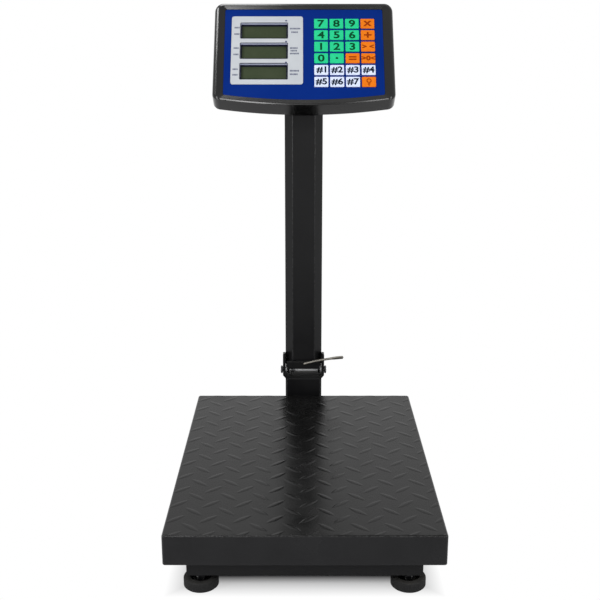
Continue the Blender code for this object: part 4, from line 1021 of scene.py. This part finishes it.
@dataclass
class FoldLatch:
    """The bracket that the column folds in, and the sprung latch on its rod."""

    rod_y: float = 188 * MM
    rod_z: float = 99.5 * MM
    rod: float = 2.5 * MM
    collar: float = 3.6 * MM
    washer: float = 4.5 * MM
    ear_inner: float = 26.3 * MM
    ear_outer: float = 29.8 * MM
    nut_flats: float = 10 * MM
    pin: float = 4 * MM
    lift: float = math.radians(6)
    wire: float = 0.6 * MM
    coil: float = 4.2 * MM
    turns: float = 3.0
    coil_pitch: float = 1.75 * MM
    coil_end: float = -11.9 * MM
    leg: float = math.radians(64)

    def rod_shape(self) -> Shape:
        """The rod, a small collar at its left and a washer at its right, turned from one section."""
        end, low = self.ear_outer + 3.5 * MM, self.ear_inner - 2.5 * MM
        high = self.ear_inner - 0.3 * MM
        left, right = (
            [(self.rod, low), (wide, low), (wide, high), (self.rod, high), (self.rod, end)]
            for wide in (self.collar, self.washer)
        )
        corners = [(0.8 * MM, -end)] + [(r, -x) for r, x in reversed(left)] + right + [(0.8 * MM, end)]
        radii = [0, 0.5 * MM] + [0.25 * MM] * 8 + [0.5 * MM, 0]
        section, edge = fillet(corners, radii, 3, closed=False)
        return turned(section, Axis.X, 48, edge).moved((0, self.rod_y, self.rod_z))

    def handle_shape(self) -> Shape:
        """The handle: a bent wire along a square curve, pressed flat towards its rounded end."""
        share = np.linspace(0, 1, 49)
        root, bend, end = np.array([(-0.7, 16.6), (29.5, 25.6), (57.0, 27.4)]) * MM
        t = share[:, None]
        line = (1 - t) ** 2 * root + 2 * t * (1 - t) * bend + t**2 * end
        path = np.stack([line[:, 0], np.full(len(share), -17.6 * MM), line[:, 1]], axis=-1)
        press = np.clip((share - 0.62) / 0.2, 0, 1)
        press = press * press * (3 - 2 * press)
        tip = np.sqrt(np.clip(1 - np.clip((share - 0.98) / 0.02, 0, 0.98) ** 2, 0, 1))
        root_round = np.sqrt(np.clip(1 - np.clip((0.02 - share) / 0.02, 0, 0.98) ** 2, 0, 1))
        halves = np.stack([1.6 + 0.75 * press, 1.8 - 0.6 * press], axis=-1) * MM * (tip * root_round)[:, None]
        shape = swept(path, halves, (0, 1, 0), 24)
        cos, sin = math.cos(self.lift), math.sin(self.lift)
        return shape.placed([[1, 0, 0], [0, cos, -sin], [0, sin, cos]], (0, self.rod_y, self.rod_z))

    def spring_shape(self) -> Shape:
        """The torsion spring: a leg on the bracket, a helix round the rod and a leg behind the latch's plate."""
        end = TURN * self.turns + self.leg
        angle = np.linspace(0, end, 150)
        helix = np.stack(
            [self.coil_end - (end - angle) * self.coil_pitch / TURN, self.coil * np.cos(angle), self.coil * np.sin(angle)],
            axis=-1,
        )
        drop = np.linspace(-7.1 * MM, -0.3 * MM, 10)
        first = np.stack([np.full(10, helix[0, 0]), np.full(10, self.coil), drop], axis=-1)
        tip = helix[-1]
        run = np.linspace(0.3, 9.0, 14)[:, None] * MM
        last = tip + run * np.array([0, -math.sin(self.leg), math.cos(self.leg)])
        path = np.concatenate([first, helix, last])
        halves = np.full((len(path), 2), self.wire)
        return swept(path, halves, (1, 0, 0), 14).moved((0, self.rod_y, self.rod_z))

    def build(self, bench: Bench) -> None:
        """Makes the bracket, pin, rod, nuts, latch, handle and spring."""
        bench.rounded_copy("fold_ears", "fold_bracket", BRACKET_PAINT_RUB_AND_SHEEN, "base", 0.7 * MM)
        low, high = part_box("hinge_pin")
        middle = (0, (low.y + high.y) / 2, (low.z + high.z) / 2)
        pin = rounded_bar(self.pin, low.x, high.x, 0.6 * MM, Axis.X)
        bench.piece("fold_pin", pin.moved(middle), BRIGHT_STEEL_PAINTED_SHEEN, "base", "hinge_pin")
        bench.piece("bright_rod", self.rod_shape(), BRIGHT_STEEL_PAINTED_SHEEN, "base", "latch_rod")
        for side, node in ((-1, "rod_nut_left"), (1, "rod_nut_right")):
            ends = sorted((side * (self.ear_outer + 0.3 * MM), side * (self.ear_outer + 3.1 * MM)))
            head = nut(self.nut_flats, *ends, Axis.X).moved((0, self.rod_y, self.rod_z))
            bench.piece(f"hex_{node}", head, DARK_STEEL, "base", node)
        bench.rounded_copy("latch_plate", "latch_pawl", BRACKET_PAINT_RUB_AND_SHEEN, "latch", 0.6 * MM)
        bench.piece("wire_handle", self.handle_shape(), HANDLE_STEEL, "latch", "latch_handle", flat_faces=False)
        spring = bench.make("coil_spring", self.spring_shape())
        spring.data.materials.append(bench.material(SPRING_STEEL))
        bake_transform(spring)
        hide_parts("latch_spring")
        LOG.info("piece %s bends between base and latch in %s", spring.name, SPRING_STEEL.name)


@dataclass
class HeadAxes:
    """The head's own axes: X across, Y up its face and Z out of its face, about the tilt pin."""

    lean: float = math.radians(36)
    pin_y: float = 200 * MM
    pin_z: float = 495.3 * MM
    face_y: float = 20 * MM
    face_z: float = 60 * MM

    def world(self, shape: Shape) -> Shape:
        """A shape drawn in the head's axes, set in the world."""
        sin, cos = math.sin(self.lean), math.cos(self.lean)
        return shape.placed([[1, 0, 0], [0, sin, -cos], [0, cos, sin]], (0, self.pin_y, self.pin_z))

    def on_face(self, shape: Shape, x: float = 0.0, y: float = 0.0) -> Shape:
        """A shape drawn about a place on the face, Z being its height over the face, set in the world."""
        return self.world(shape.moved((x, y + self.face_y, self.face_z)))

    def on_back(self, shape: Shape, x: float, y: float, depth: float) -> Shape:
        """A shape drawn standing on Z = 0, set on the back wall and pointing backwards."""
        turned_over = shape.placed([[-1, 0, 0], [0, 1, 0], [0, 0, -1]], (x, y + self.face_y, depth))
        return self.world(turned_over)


@dataclass
class Housing:
    """The head's moulded housing: a bezel round the face, and a back tray with its door, screws and controls."""

    axes: HeadAxes
    width: float = 236.6 * MM
    rise: float = 77.1 * MM
    fall: float = 70.875 * MM
    bow: float = 8 * MM
    corner: float = 11 * MM
    film_width: float = 208.4 * MM
    film_rise: float = 67.8 * MM
    film_fall: float = 62.875 * MM
    film_bow: float = 7 * MM
    film_corner: float = 2.5 * MM
    seam: float = 36.5 * MM
    rim: float = 62.2 * MM
    rounds: tuple[float, float, float] = (5.6 * MM, 1.5 * MM, 0.4 * MM)
    facets: tuple[float, float, float] = (1.7 * MM, 3.0 * MM, 1.6 * MM)
    facet_tilt: float = math.radians(20)
    wall: float = 2.5 * MM
    back: float = 12 * MM

    def outline(
        self, half: float, rise: float, fall: float, bow: float, radius: float, height: Array | float
    ) -> Array:
        """A ring round the face: quarter circles at the corners and a bottom edge that bows down as a parabola.

        Args:
            half: half its width.
            rise: its reach above the face's middle.
            fall: its reach below at the corners.
            bow: how much further the bottom edge's middle falls.
            radius: corner radius.
            height: height above the tilt pin, of the whole ring or of each point.

        Returns:
            The ring's points in the head's axes.
        """
        x = half - radius
        quarter = np.radians(np.linspace(0, 90, 13))
        arc = radius * np.stack([np.cos(quarter), np.sin(quarter)], axis=-1)
        across = np.linspace(-1, 1, 42)[1:-1]
        bottom = np.stack([across * x, -fall - bow * (1 - across**2)], axis=-1)
        back_arc = np.stack([-arc[:, 1], arc[:, 0]], axis=-1)
        ring = np.concatenate(
            [arc + (x, rise - radius), back_arc + (-x, rise - radius), -arc + (-x, radius - fall), bottom,
             -back_arc + (x, radius - fall)]
        )
        return np.column_stack([ring[:, 0], ring[:, 1] + self.axes.face_y, np.broadcast_to(height, len(ring))])

    def outer(self, inset: float, height: float) -> Array:
        """The housing's outline, drawn in evenly."""
        radius = max(self.corner - inset, 2.5 * MM)
        return self.outline(self.width / 2 - inset, self.rise - inset, self.fall - inset, self.bow, radius, height)

    def film(self, inset: float, height: float) -> Array:
        """The printed film's outline, drawn in evenly."""
        radius = max(self.film_corner - inset, 2.5 * MM)
        return self.outline(
            self.film_width / 2 - inset, self.film_rise - inset, self.film_fall - inset, self.film_bow, radius, height
        )

    @staticmethod
    def round_sides(sizes: tuple[float, float, float]) -> Array:
        """A size for each point of a ring, from one for the sides, one for the top and one for the bottom.

        Round a corner the size goes from the side's to the other with the square of the sine.

        Args:
            sizes: the size at the sides, at the top and at the bottom.

        Returns:
            The size at each point of an outline.
        """
        side, top, bottom = sizes
        turn = np.sin(np.radians(np.linspace(0, 90, 13))) ** 2
        upper, lower = side + (top - side) * turn, side + (bottom - side) * turn
        return np.concatenate([upper, upper[::-1], lower, np.full(40, bottom), lower[::-1]])

    def rim_ring(self, angle: float, share: float) -> Array:
        """One ring of the bezel's rim: round by an angle from the wall, and then in along the facet.

        Args:
            angle: how far the rounding has turned in from the wall.
            share: how far along the facet the ring lies, 0 to 1.

        Returns:
            The ring's points in the head's axes.
        """
        tilt = self.facet_tilt
        side, top, bottom = (
            radius * (1 - math.cos(angle)) + facet * share * math.cos(tilt)
            for radius, facet in zip(self.rounds, self.facets)
        )
        drop = self.round_sides(self.rounds) * (math.cos(tilt) - math.sin(angle))
        drop = drop + self.round_sides(self.facets) * (1 - share) * math.sin(tilt)
        corner = max(self.corner - (side + max(top, bottom)) / 2, 2.5 * MM)
        height = self.rim - 0.1 * MM - drop
        return self.outline(self.width / 2 - side, self.rise - top, self.fall - bottom, self.bow, corner, height)

    def bezel_shape(self) -> Shape:
        """The bezel: rings that climb the outer wall, round over the rim, slope in to the film and return inside.

        The rounding stops short of level, and a narrow flat facet at that slope carries on up to the crest.

        Returns:
            The bezel in the head's axes.
        """
        gap, face = 0.3 * MM, self.axes.face_z
        last = math.pi / 2 - self.facet_tilt
        rings = [self.outer(0.4 * MM, self.seam), self.outer(0, self.seam + 0.5 * MM)]
        rings += [self.rim_ring(angle, 0) for angle in np.linspace(0, last, 8)]
        rings += [self.rim_ring(last, share) for share in (0.1, 0.9, 1.0)]
        inner, crest = self.film(-gap, face + gap), self.rim_ring(last, 1.25)
        crest[:, 2] = self.rim
        rings += [crest] + [crest * (1 - t) + inner * t for t in (0.08, 0.5, 0.93)] + [inner]
        ledge = face - 1.9 * MM
        rings += [self.film(-gap, ledge), self.film(6 * MM, ledge), self.film(6 * MM, ledge - self.wall)]
        rings += [self.outer(self.wall, ledge - self.wall), self.outer(self.wall, self.seam)]
        worn = np.zeros(len(rings))
        worn[3:11] = np.sin(np.linspace(0, math.pi, 8))
        return loft(np.stack(rings), worn, closed=True)

    def build(self, bench: Bench) -> None:
        """Makes the bezel, the back tray and what is fixed to it."""
        axes = self.axes
        bench.piece("face_bezel", axes.world(self.bezel_shape()), BEZEL_PLASTIC, "head", "head_front_shell")
        bench.rounded_copy("back_tray", "head_back_shell", BACK_PLASTIC, "head", 0.9 * MM)
        door = slab(rounded_rectangle(104 * MM, 44 * MM, 5 * MM), -0.3 * MM, 1.1 * MM, 0.7 * MM, 5 * MM)
        ribs = [
            slab(rounded_rectangle(18 * MM, 1.2 * MM, 0.5 * MM), 0.9 * MM, 1.8 * MM, 0.4 * MM, 0.45 * MM).moved((0, y, 0))
            for y in np.arange(-18, -9, 2.4) * MM
        ]
        door = Shape.joined([door, *ribs])
        bench.piece("battery_door", axes.on_back(door, 0, 26 * MM, self.back), BACK_PLASTIC, "head")
        screws = [
            axes.on_back(cross_head(3.4 * MM, 1.6 * MM), x, y, self.back)
            for x in (-84 * MM, 84 * MM)
            for y in (43 * MM, -38 * MM)
        ]
        bench.piece("back_screws", Shape.joined(screws), DARK_STEEL, "head", flat_faces=False)
        self.build_controls(bench)

    def build_controls(self, bench: Bench) -> None:
        """Makes the switch's surround, the switch, the charging socket and the tilt bolt."""
        axes = self.axes
        section = [(0, -0.3 * MM), (0, 1.0 * MM), (2.3 * MM, 1.0 * MM), (2.3 * MM, -0.3 * MM)]
        profile, worn = fillet(section, 0.35 * MM, 4)
        rings = [rounded_rectangle(18.8 * MM - 2 * d, 22.8 * MM - 2 * d, max(1.6 * MM - d, 0.3 * MM)) for d, _ in profile]
        heights = [np.full(len(ring), height) for ring, (_, height) in zip(rings, profile)]
        surround = loft(np.stack([np.column_stack(pair) for pair in zip(rings, heights)]), worn, closed=True)
        placed = axes.on_back(surround, 66 * MM, -22 * MM, self.back)
        bench.piece("switch_surround", placed, SWITCH_PLASTIC, "head")
        bench.rounded_copy("switch_rocker", "power_switch", SWITCH_PLASTIC, "rocker", 0.5 * MM)
        bench.rounded_copy("charge_inlet", "charge_socket", DARK_STEEL, "head", 0.3 * MM)
        place = (0, axes.pin_y, axes.pin_z)
        corners = [(4 * MM, -24.3 * MM), (7 * MM, -24.3 * MM), (7 * MM, -21.3 * MM), (4 * MM, -21.3 * MM)]
        corners += [(4 * MM, 28.3 * MM), (1.2 * MM, 28.3 * MM)]
        profile, worn = fillet([(2 * MM, -23.3 * MM), *corners], [0, 0.5 * MM, 0.8 * MM, 0.2 * MM, 0.2 * MM, 0.6 * MM, 0], 4, False)
        bench.piece("tilt_bolt", turned(profile, Axis.X, 48, worn).moved(place), DARK_STEEL, "head", "tilt_pin")
        lock = nut(13 * MM, 21.3 * MM, 27.3 * MM, Axis.X).moved(place)
        bench.piece("tilt_lock_nut", lock, DARK_STEEL, "head", "tilt_nut")
        for node, finish in (("main_board", BOARD_GREEN), ("battery", BATTERY_CASE)):
            bench.dress(node, finish)


@dataclass
class Display:
    """The printed film, the silver panel in it and the three display windows."""

    axes: HeadAxes
    window_x: float = -52.4 * MM
    window_y: float = 3.6 * MM
    window_width: float = 63.1 * MM
    window_height: float = 24 * MM
    pitch: float = 31.2 * MM
    corner: float = 1.5 * MM
    panel_top: float = 0.3 * MM
    glass: float = -3.75 * MM

    def ring(self, margins: tuple[float, float, float, float], height: float) -> Array:
        """The window's outline with its sides drawn in, at a height over the face.

        Args:
            margins: how far the left, right, bottom and top sides are drawn in.
            height: height over the face.

        Returns:
            The ring's points about the window's middle.
        """
        left, right, bottom, top = margins
        plan = rounded_rectangle(
            self.window_width - left - right, self.window_height - bottom - top, max(self.corner - left, 0.4 * MM)
        )
        middle = ((left - right) / 2, (bottom - top) / 2)
        return np.column_stack([plan + middle, np.full(len(plan), height)])

    def frame_ring(self, sections: list[tuple[tuple[float, float, float, float], float]]) -> Shape:
        """A frame whose section runs through a closed list of margins and heights, given in millimetres."""
        rings = [self.ring(tuple(m * MM for m in margins), height * MM) for margins, height in sections]
        return loft(np.stack(rings), closed=True)

    def marks(self) -> Shape:
        """The small printed marks beside the windows: rows of short dashes, and a dot over each window."""
        dashes = []
        rows = (
            (-90.8, 15.4, (4.5, -5.5), ((-17.7, 3.0, 8), (-15.8, -2.6, 5))),
            (-91.4, 14.1, (4.0, -5.7), ((-17.7, 4.0, 6), (-16.8, 0.0, 5), (-17.7, -4.4, 7))),
            (-92.0, 13.2, (3.0, -5.5), ((-17.7, 0.6, 7), (-17.7, -4.6, 6))),
        )
        for row, (left, top, heights, words) in enumerate(rows):
            y = self.window_y / MM + (1 - row) * self.pitch / MM
            lines = [(left, height, 4) for height in heights] + list(words)
            for x, height, count in lines:
                dashes += [(x + 1.75 * i, y + height, 1.2, 2.5) for i in range(count)]
            dashes.append((-23.4, y + top, 2.4, 2.2))
        shapes = [
            slab(rounded_rectangle(w * MM, h * MM, 0.3 * MM, 2), 0, 0.06 * MM, 0.02 * MM, 0.1 * MM).moved(
                (x * MM, y * MM, self.panel_top)
            )
            for x, y, w, h in dashes
        ]
        return Shape.joined(shapes)

    def build(self, bench: Bench) -> None:
        """Dresses the film and the module, and makes the panel, the windows and the marks."""
        bench.dress("keypad_overlay", BLUE_FILM)
        bench.dress("lcd_module", LCD_BORDER_AND_EDGE_SHADE)
        bench.rounded_copy("silver_face", "display_panel", SILVER_PANEL, "head", 0.25 * MM, 2)
        # painted shade: the window line is a thin dark ring on the panel round each window, standing in for the shade
        # along the window's edge
        outside, inside = (0, 0, -0.5, -0.5), (0.8, 0.8, 0.4, 0.5)
        line = self.frame_ring([(outside, 0.25), (outside, 0.36), (inside, 0.36), (inside, 0.25)])
        sides, step = (0.7, 0.7, 0.3, 0.4), (0.9, 0.9, 0.5, 0.7)
        lip = self.frame_ring([((0, 0, 0, 0), 0.3), (sides, 0.3), (step, -2.6), ((0, 0, 0, 0), -2.7)])
        close, wide = (0.2, 0.2, 0.1, 0.2), (2.5, 2.1, 1.9, 2.9)
        border = self.frame_ring([(close, -2.6), (wide, -2.6), (wide, -3.75), (close, -3.75)])
        parts = (("window_shade_line", line, LCD_BORDER_AND_EDGE_SHADE), ("window_lip", lip, WINDOW_LIP), ("lcd_border", border, LCD_BORDER_AND_EDGE_SHADE))
        for row in range(3):
            y = self.window_y + (1 - row) * self.pitch
            for name, shape, finish in parts:
                bench.piece(f"{name}_{row + 1}", self.axes.on_face(shape, self.window_x, y), finish, "head")
            plate = slab(
                rounded_rectangle(self.window_width - 2.5 * MM, self.window_height - 2.5 * MM, 0.6 * MM),
                self.glass, self.glass + 0.12 * MM, 0.05 * MM, 2 * MM,
            )
            bench.piece(f"lcd_face_{row + 1}", self.axes.on_face(plate, self.window_x, y), LCD_GLASS, "head")
        bench.piece("panel_marks", self.axes.on_face(self.marks()), PANEL_INK, "head")


class KeyKind(Enum):
    """The three kinds of key: cap finish and ink."""

    DIGIT = (KEY_GREEN, GREEN_INK)
    COMMAND = (KEY_ORANGE, ORANGE_INK)
    MEMORY = (KEY_WHITE, WHITE_INK)


@dataclass
class Keypad:
    """Twenty-four keys in six rows, each a cap with a plain digit or sign."""

    axes: HeadAxes
    x: float = 53.3 * MM
    y: float = 0.95 * MM
    pitch_x: float = 20.5 * MM
    pitch_y: float = 17.85 * MM
    width: float = 18.1 * MM
    height: float = 14.9 * MM
    proud: float = 0.8 * MM
    cap: float = 2.4 * MM

    def rows(self) -> tuple[tuple[tuple[str, str, KeyKind], ...], ...]:
        """Name, sign and kind of each key, row by row from the top."""
        digit, command, memory = KeyKind.DIGIT, KeyKind.COMMAND, KeyKind.MEMORY
        return (
            (("7", "7", digit), ("8", "8", digit), ("9", "9", digit), ("clear", "x", command)),
            (("4", "4", digit), ("5", "5", digit), ("6", "6", digit), ("add", "+", command)),
            (("1", "1", digit), ("2", "2", digit), ("3", "3", digit), ("tare", "> <", command)),
            (("0", "0", digit), ("point", ".", digit), ("total", "=", command), ("zero", ">0<", command)),
            tuple((f"memory_{n}", f"#{n}", memory) for n in (1, 2, 3, 4)),
            (*((f"memory_{n}", f"#{n}", memory) for n in (5, 6, 7)), ("light", "*", command)),
        )

    def cap_shape(self) -> Shape:
        """A key cap: a rounded rectangle drawn in along a section that rounds over into the top."""
        section, worn = fillet(
            [(1 * MM, self.proud - self.cap), (0, self.proud - self.cap), (0, self.proud), (3 * MM, self.proud)],
            [0, 0.2 * MM, 0.45 * MM, 0], 5, closed=False,
        )
        rings = [
            rounded_rectangle(self.width - 2 * inset, self.height - 2 * inset, max(1.1 * MM - inset, 0.4 * MM))
            for inset, _ in section
        ]
        heights = [np.full(len(ring), height) for ring, (_, height) in zip(rings, section)]
        return loft(np.stack([np.column_stack(pair) for pair in zip(rings, heights)]), worn)

    def lettering(self, text: str, size: float, bold: float, stretch: float) -> Shape:
        """A plain sign as a thin flat shape about its own middle.

        Args:
            text: the digits or signs.
            size: type size.
            bold: how far its outline is pushed out.
            stretch: how much wider than its font it is.

        Returns:
            The shape, just above Z = 0.
        """
        curve = bpy.data.curves.new("sign", "FONT")
        curve.body, curve.size, curve.offset, curve.extrude = text, size, bold, 0.03 * MM
        curve.resolution_u = 4
        carrier = bpy.data.objects.new("sign", curve)
        bpy.context.scene.collection.objects.link(carrier)
        mesh = bpy.data.meshes.new_from_object(carrier.evaluated_get(bpy.context.evaluated_depsgraph_get()))
        points = np.empty(len(mesh.vertices) * 3, np.float32)
        mesh.vertices.foreach_get("co", points)
        points = points.reshape(-1, 3).astype(float)
        points = (points - (points.min(axis=0) + points.max(axis=0)) / 2) * (stretch, 1, 1)
        faces = [list(face.vertices) for face in mesh.polygons]
        bpy.data.objects.remove(carrier)
        bpy.data.curves.remove(curve)
        bpy.data.meshes.remove(mesh)
        return Shape(points, faces, np.zeros(len(points)))

    def lamp_sign(self) -> Shape:
        """A lamp: a ring for the bulb and two short bars under it."""
        section, _ = fillet([(2.1 * MM, 0), (3.3 * MM, 0), (3.3 * MM, 0.06 * MM), (2.1 * MM, 0.06 * MM)], 0.0, 1)
        angle = np.arange(36) / 36 * TURN
        around = np.stack([np.cos(angle), np.sin(angle)], axis=-1)
        ring = np.concatenate([section[:, None, :1] * around[None], np.broadcast_to(section[:, None, 1:], (len(section), 36, 1))], axis=-1)
        bars = [
            slab(rounded_rectangle(w * MM, 1.2 * MM, 0.2 * MM, 2), 0, 0.06 * MM, 0.02 * MM, 0.1 * MM).moved((0, y * MM, 0))
            for w, y in ((3.2, -3.3), (2.2, -5.1))
        ]
        return Shape.joined([loft(ring, closed=True).moved((0, 1.5 * MM, 0)), *bars])

    def sign(self, text: str, kind: KeyKind) -> Shape:
        """The sign on a key, sized for its kind.

        Args:
            text: the key's sign.
            kind: the kind of key.

        Returns:
            The sign's shape about the key's middle.
        """
        if text == "*":
            return self.lamp_sign()
        if kind is KeyKind.DIGIT:
            return self.lettering(text, (14.6 if text != "." else 18) * MM, 0.42 * MM, 1.22)
        if kind is KeyKind.MEMORY:
            return self.lettering(text, 12.6 * MM, 0.42 * MM, 1.08)
        return self.lettering(text, (17 if len(text) == 1 else 9.5) * MM, 0.35 * MM, 1.15)

    def build(self, bench: Bench) -> None:
        """Makes each key's cap and its sign."""
        cap = self.cap_shape()
        for row, keys in enumerate(self.rows()):
            y = self.y + (2.5 - row) * self.pitch_y
            for column, (name, text, kind) in enumerate(keys):
                x = self.x + (column - 1.5) * self.pitch_x
                finish, ink = kind.value
                body = f"key_{name}"
                bench.piece(f"cap_{name}", self.axes.on_face(cap, x, y), finish, body, body)
                sign = self.sign(text, kind).moved((0, 0, self.proud + 0.02 * MM))
                bench.piece(f"sign_{name}", self.axes.on_face(sign, x, y), ink, body, flat_faces=False)


@dataclass
class Studio:
    """A plain pale floor, soft light and the camera."""

    camera: tuple[float, float, float] = (-0.0051, -1.1636, 0.5885)
    pitch: float = math.radians(15.87)
    lens: float = 59.1
    ambient: float = 0.25

    def rays(self, sketch: NodeSketch) -> tuple[bpy.types.NodeSocket, bpy.types.NodeSocket]:
        """1 on rays from the camera, and 1 on rays from a mirror or glass; both are 0 on rays that carry light."""
        path = sketch.add("LightPath").outputs
        return path["Is Camera Ray"], sketch.maths("MAXIMUM", path["Is Glossy Ray"], path["Is Transmission Ray"])

    def floor(self) -> None:
        """The floor: lit under and by the object so that it keeps the shadow, darkened for the camera by a painted
        shadow near the pan's edges, and plain white further out.
        """
        reach = np.linspace(-4, 4, 9)
        x, y = np.meshgrid(reach, reach, indexing="ij")
        points = np.stack([x, y, np.zeros_like(x)], axis=-1).reshape(-1, 3)
        mesh = bpy.data.meshes.new("studio_floor")
        mesh.from_pydata(points.tolist(), [], grid_faces(9, 9, False, False)[:, ::-1].tolist())
        ground = bpy.data.objects.new("studio_floor", mesh)
        bpy.context.scene.collection.objects.link(ground)
        made = bpy.data.materials.new("studio_floor")
        made.use_nodes = True
        sketch = NodeSketch(made.node_tree)
        place = sketch.add("TexCoord").outputs["Object"]
        centred = sketch.add("VectorMath", {0: place, 1: (0, -0.045, 0)}, operation="SUBTRACT").outputs[0]
        folded = sketch.add("VectorMath", {0: centred}, operation="ABSOLUTE").outputs[0]
        beyond = sketch.add("VectorMath", {0: folded, 1: (0.15, 0.2, 0)}, operation="SUBTRACT").outputs[0]
        sides = sketch.add("SeparateXYZ", {0: beyond}).outputs
        away = sketch.maths("MAXIMUM", sides[0], sides[1])
        # painted shadow: for the camera the floor fades from its own shade to white over the last 42 mm inside the
        # pan's footprint, a shadow edge set by distance rather than by light
        shadow_fade_steep = sketch.spread(away, -0.0415, -0.0255, (0.0, 0.5))
        shadow_fade_gentle = sketch.spread(away, -0.0255, 0.0, (0.0, 0.5))
        camera, mirror = self.rays(sketch)
        direct = sketch.maths("MULTIPLY", sketch.maths("ADD", shadow_fade_steep, shadow_fade_gentle), camera)
        far = sketch.maths("MAXIMUM", direct, sketch.maths("MULTIPLY", sketch.spread(away, 0.0, 0.8), mirror))
        # painted shadow: camera rays see the floor in a darker colour than the one it lights the object with
        painted_shadow_tone = sketch.mix(camera, (0.84, 0.84, 0.85, 1), (0.3, 0.3, 0.31, 1))
        near = sketch.add("BsdfDiffuse", {"Color": painted_shadow_tone}).outputs[0]
        white = sketch.add("Emission", {"Color": (1, 1, 1, 1), "Strength": 1.0}).outputs[0]
        mixed = sketch.add("MixShader", {0: far, 1: near, 2: white}).outputs[0]
        sketch.add("OutputMaterial", {"Surface": mixed})
        mesh.materials.append(made)

    def world(self) -> None:
        """White where it is seen, and a softer even light where it lights the object."""
        made = bpy.data.worlds.new("studio")
        made.use_nodes = True
        sketch = NodeSketch(made.node_tree)
        soft = sketch.add("Background", {"Color": (1, 1, 1, 1), "Strength": self.ambient}).outputs[0]
        white = sketch.add("Background", {"Color": (1, 1, 1, 1), "Strength": 1.0}).outputs[0]
        seen = sketch.maths("MAXIMUM", *self.rays(sketch))
        mixed = sketch.add("MixShader", {0: seen, 1: soft, 2: white}).outputs[0]
        sketch.add("OutputWorld", {"Surface": mixed})
        bpy.context.scene.world = made

    def lamp(self, name: str, place: tuple, aim: tuple, size: tuple[float, float], power: float) -> None:
        """A soft rectangular lamp.

        Args:
            name: its name.
            place: where it stands.
            aim: the point that it faces.
            size: its width and height.
            power: its power in watts.
        """
        light = bpy.data.lights.new(name, "AREA")
        light.shape, light.size, light.size_y, light.energy = "RECTANGLE", *size, power
        holder = bpy.data.objects.new(name, light)
        run = np.asarray(aim, float) - np.asarray(place, float)
        flat = math.hypot(run[0], run[1])
        holder.location = place
        holder.rotation_euler = (math.atan2(flat, -run[2]), 0, math.atan2(-run[0], run[1]))
        bpy.context.scene.collection.objects.link(holder)

    def build(self) -> None:
        """Makes the floor, the world, the lamps and the camera."""
        self.floor()
        self.world()
        middle = (0, 0, 0.3)
        head = (0, 0.15, 0.54)
        self.lamp("upper_left_box", (-0.92, 0.16, 1.7), head, (0.3, 0.4), 7.2)
        self.lamp("upper_rear_box", (-0.25, 0.62, 1.75), head, (0.4, 0.4), 4.4)
        self.lamp("left_strip", (-1.3, -1.05, 0.85), middle, (0.35, 1.4), 13)
        self.lamp("right_strip", (1.3, -1.05, 0.85), middle, (0.35, 1.4), 9)
        self.lamp("front_left_box", (-0.33, -1.5, 1.33), head, (0.32, 0.25), 5.2)
        self.lamp("front_right_box", (0.5, -1.6, 1.33), head, (0.3, 0.25), 2.6)
        self.lamp("near_left_strip", (-0.55, -0.4, 0.42), (0, 0.2, 0.45), (0.1, 0.16), 0.9)
        self.lamp("near_right_strip", (0.55, -0.4, 0.42), (0, 0.2, 0.45), (0.1, 0.16), 0.9)
        view = bpy.data.cameras.new("photo_view")
        view.sensor_width, view.lens = 36, self.lens
        holder = bpy.data.objects.new("photo_view", view)
        holder.location = self.camera
        holder.rotation_euler = (math.pi / 2 - self.pitch, 0, 0)
        bpy.context.scene.collection.objects.link(holder)
        bpy.context.scene.camera = holder
        bpy.context.scene.view_settings.view_transform = "Standard"


def main() -> None:
    """Builds the parts of the scale in order, then the studio."""
    logging.basicConfig(level=logging.INFO, format="%(name)s: %(message)s")
    bench = Bench()
    axes = HeadAxes()
    Platform().build(bench)
    BaseFrame().build(bench)
    corners = ((-112, -220), (112, -220), (112, 130), (-112, 130))
    for number, (x, y) in enumerate(corners, start=1):
        Foot(number, x * MM, y * MM).build(bench)
    Column().build(bench)
    FoldLatch().build(bench)
    Housing(axes).build(bench)
    Display(axes).build(bench)
    Keypad(axes).build(bench)
    Studio().build()


if __name__ == "__main__":
    main()
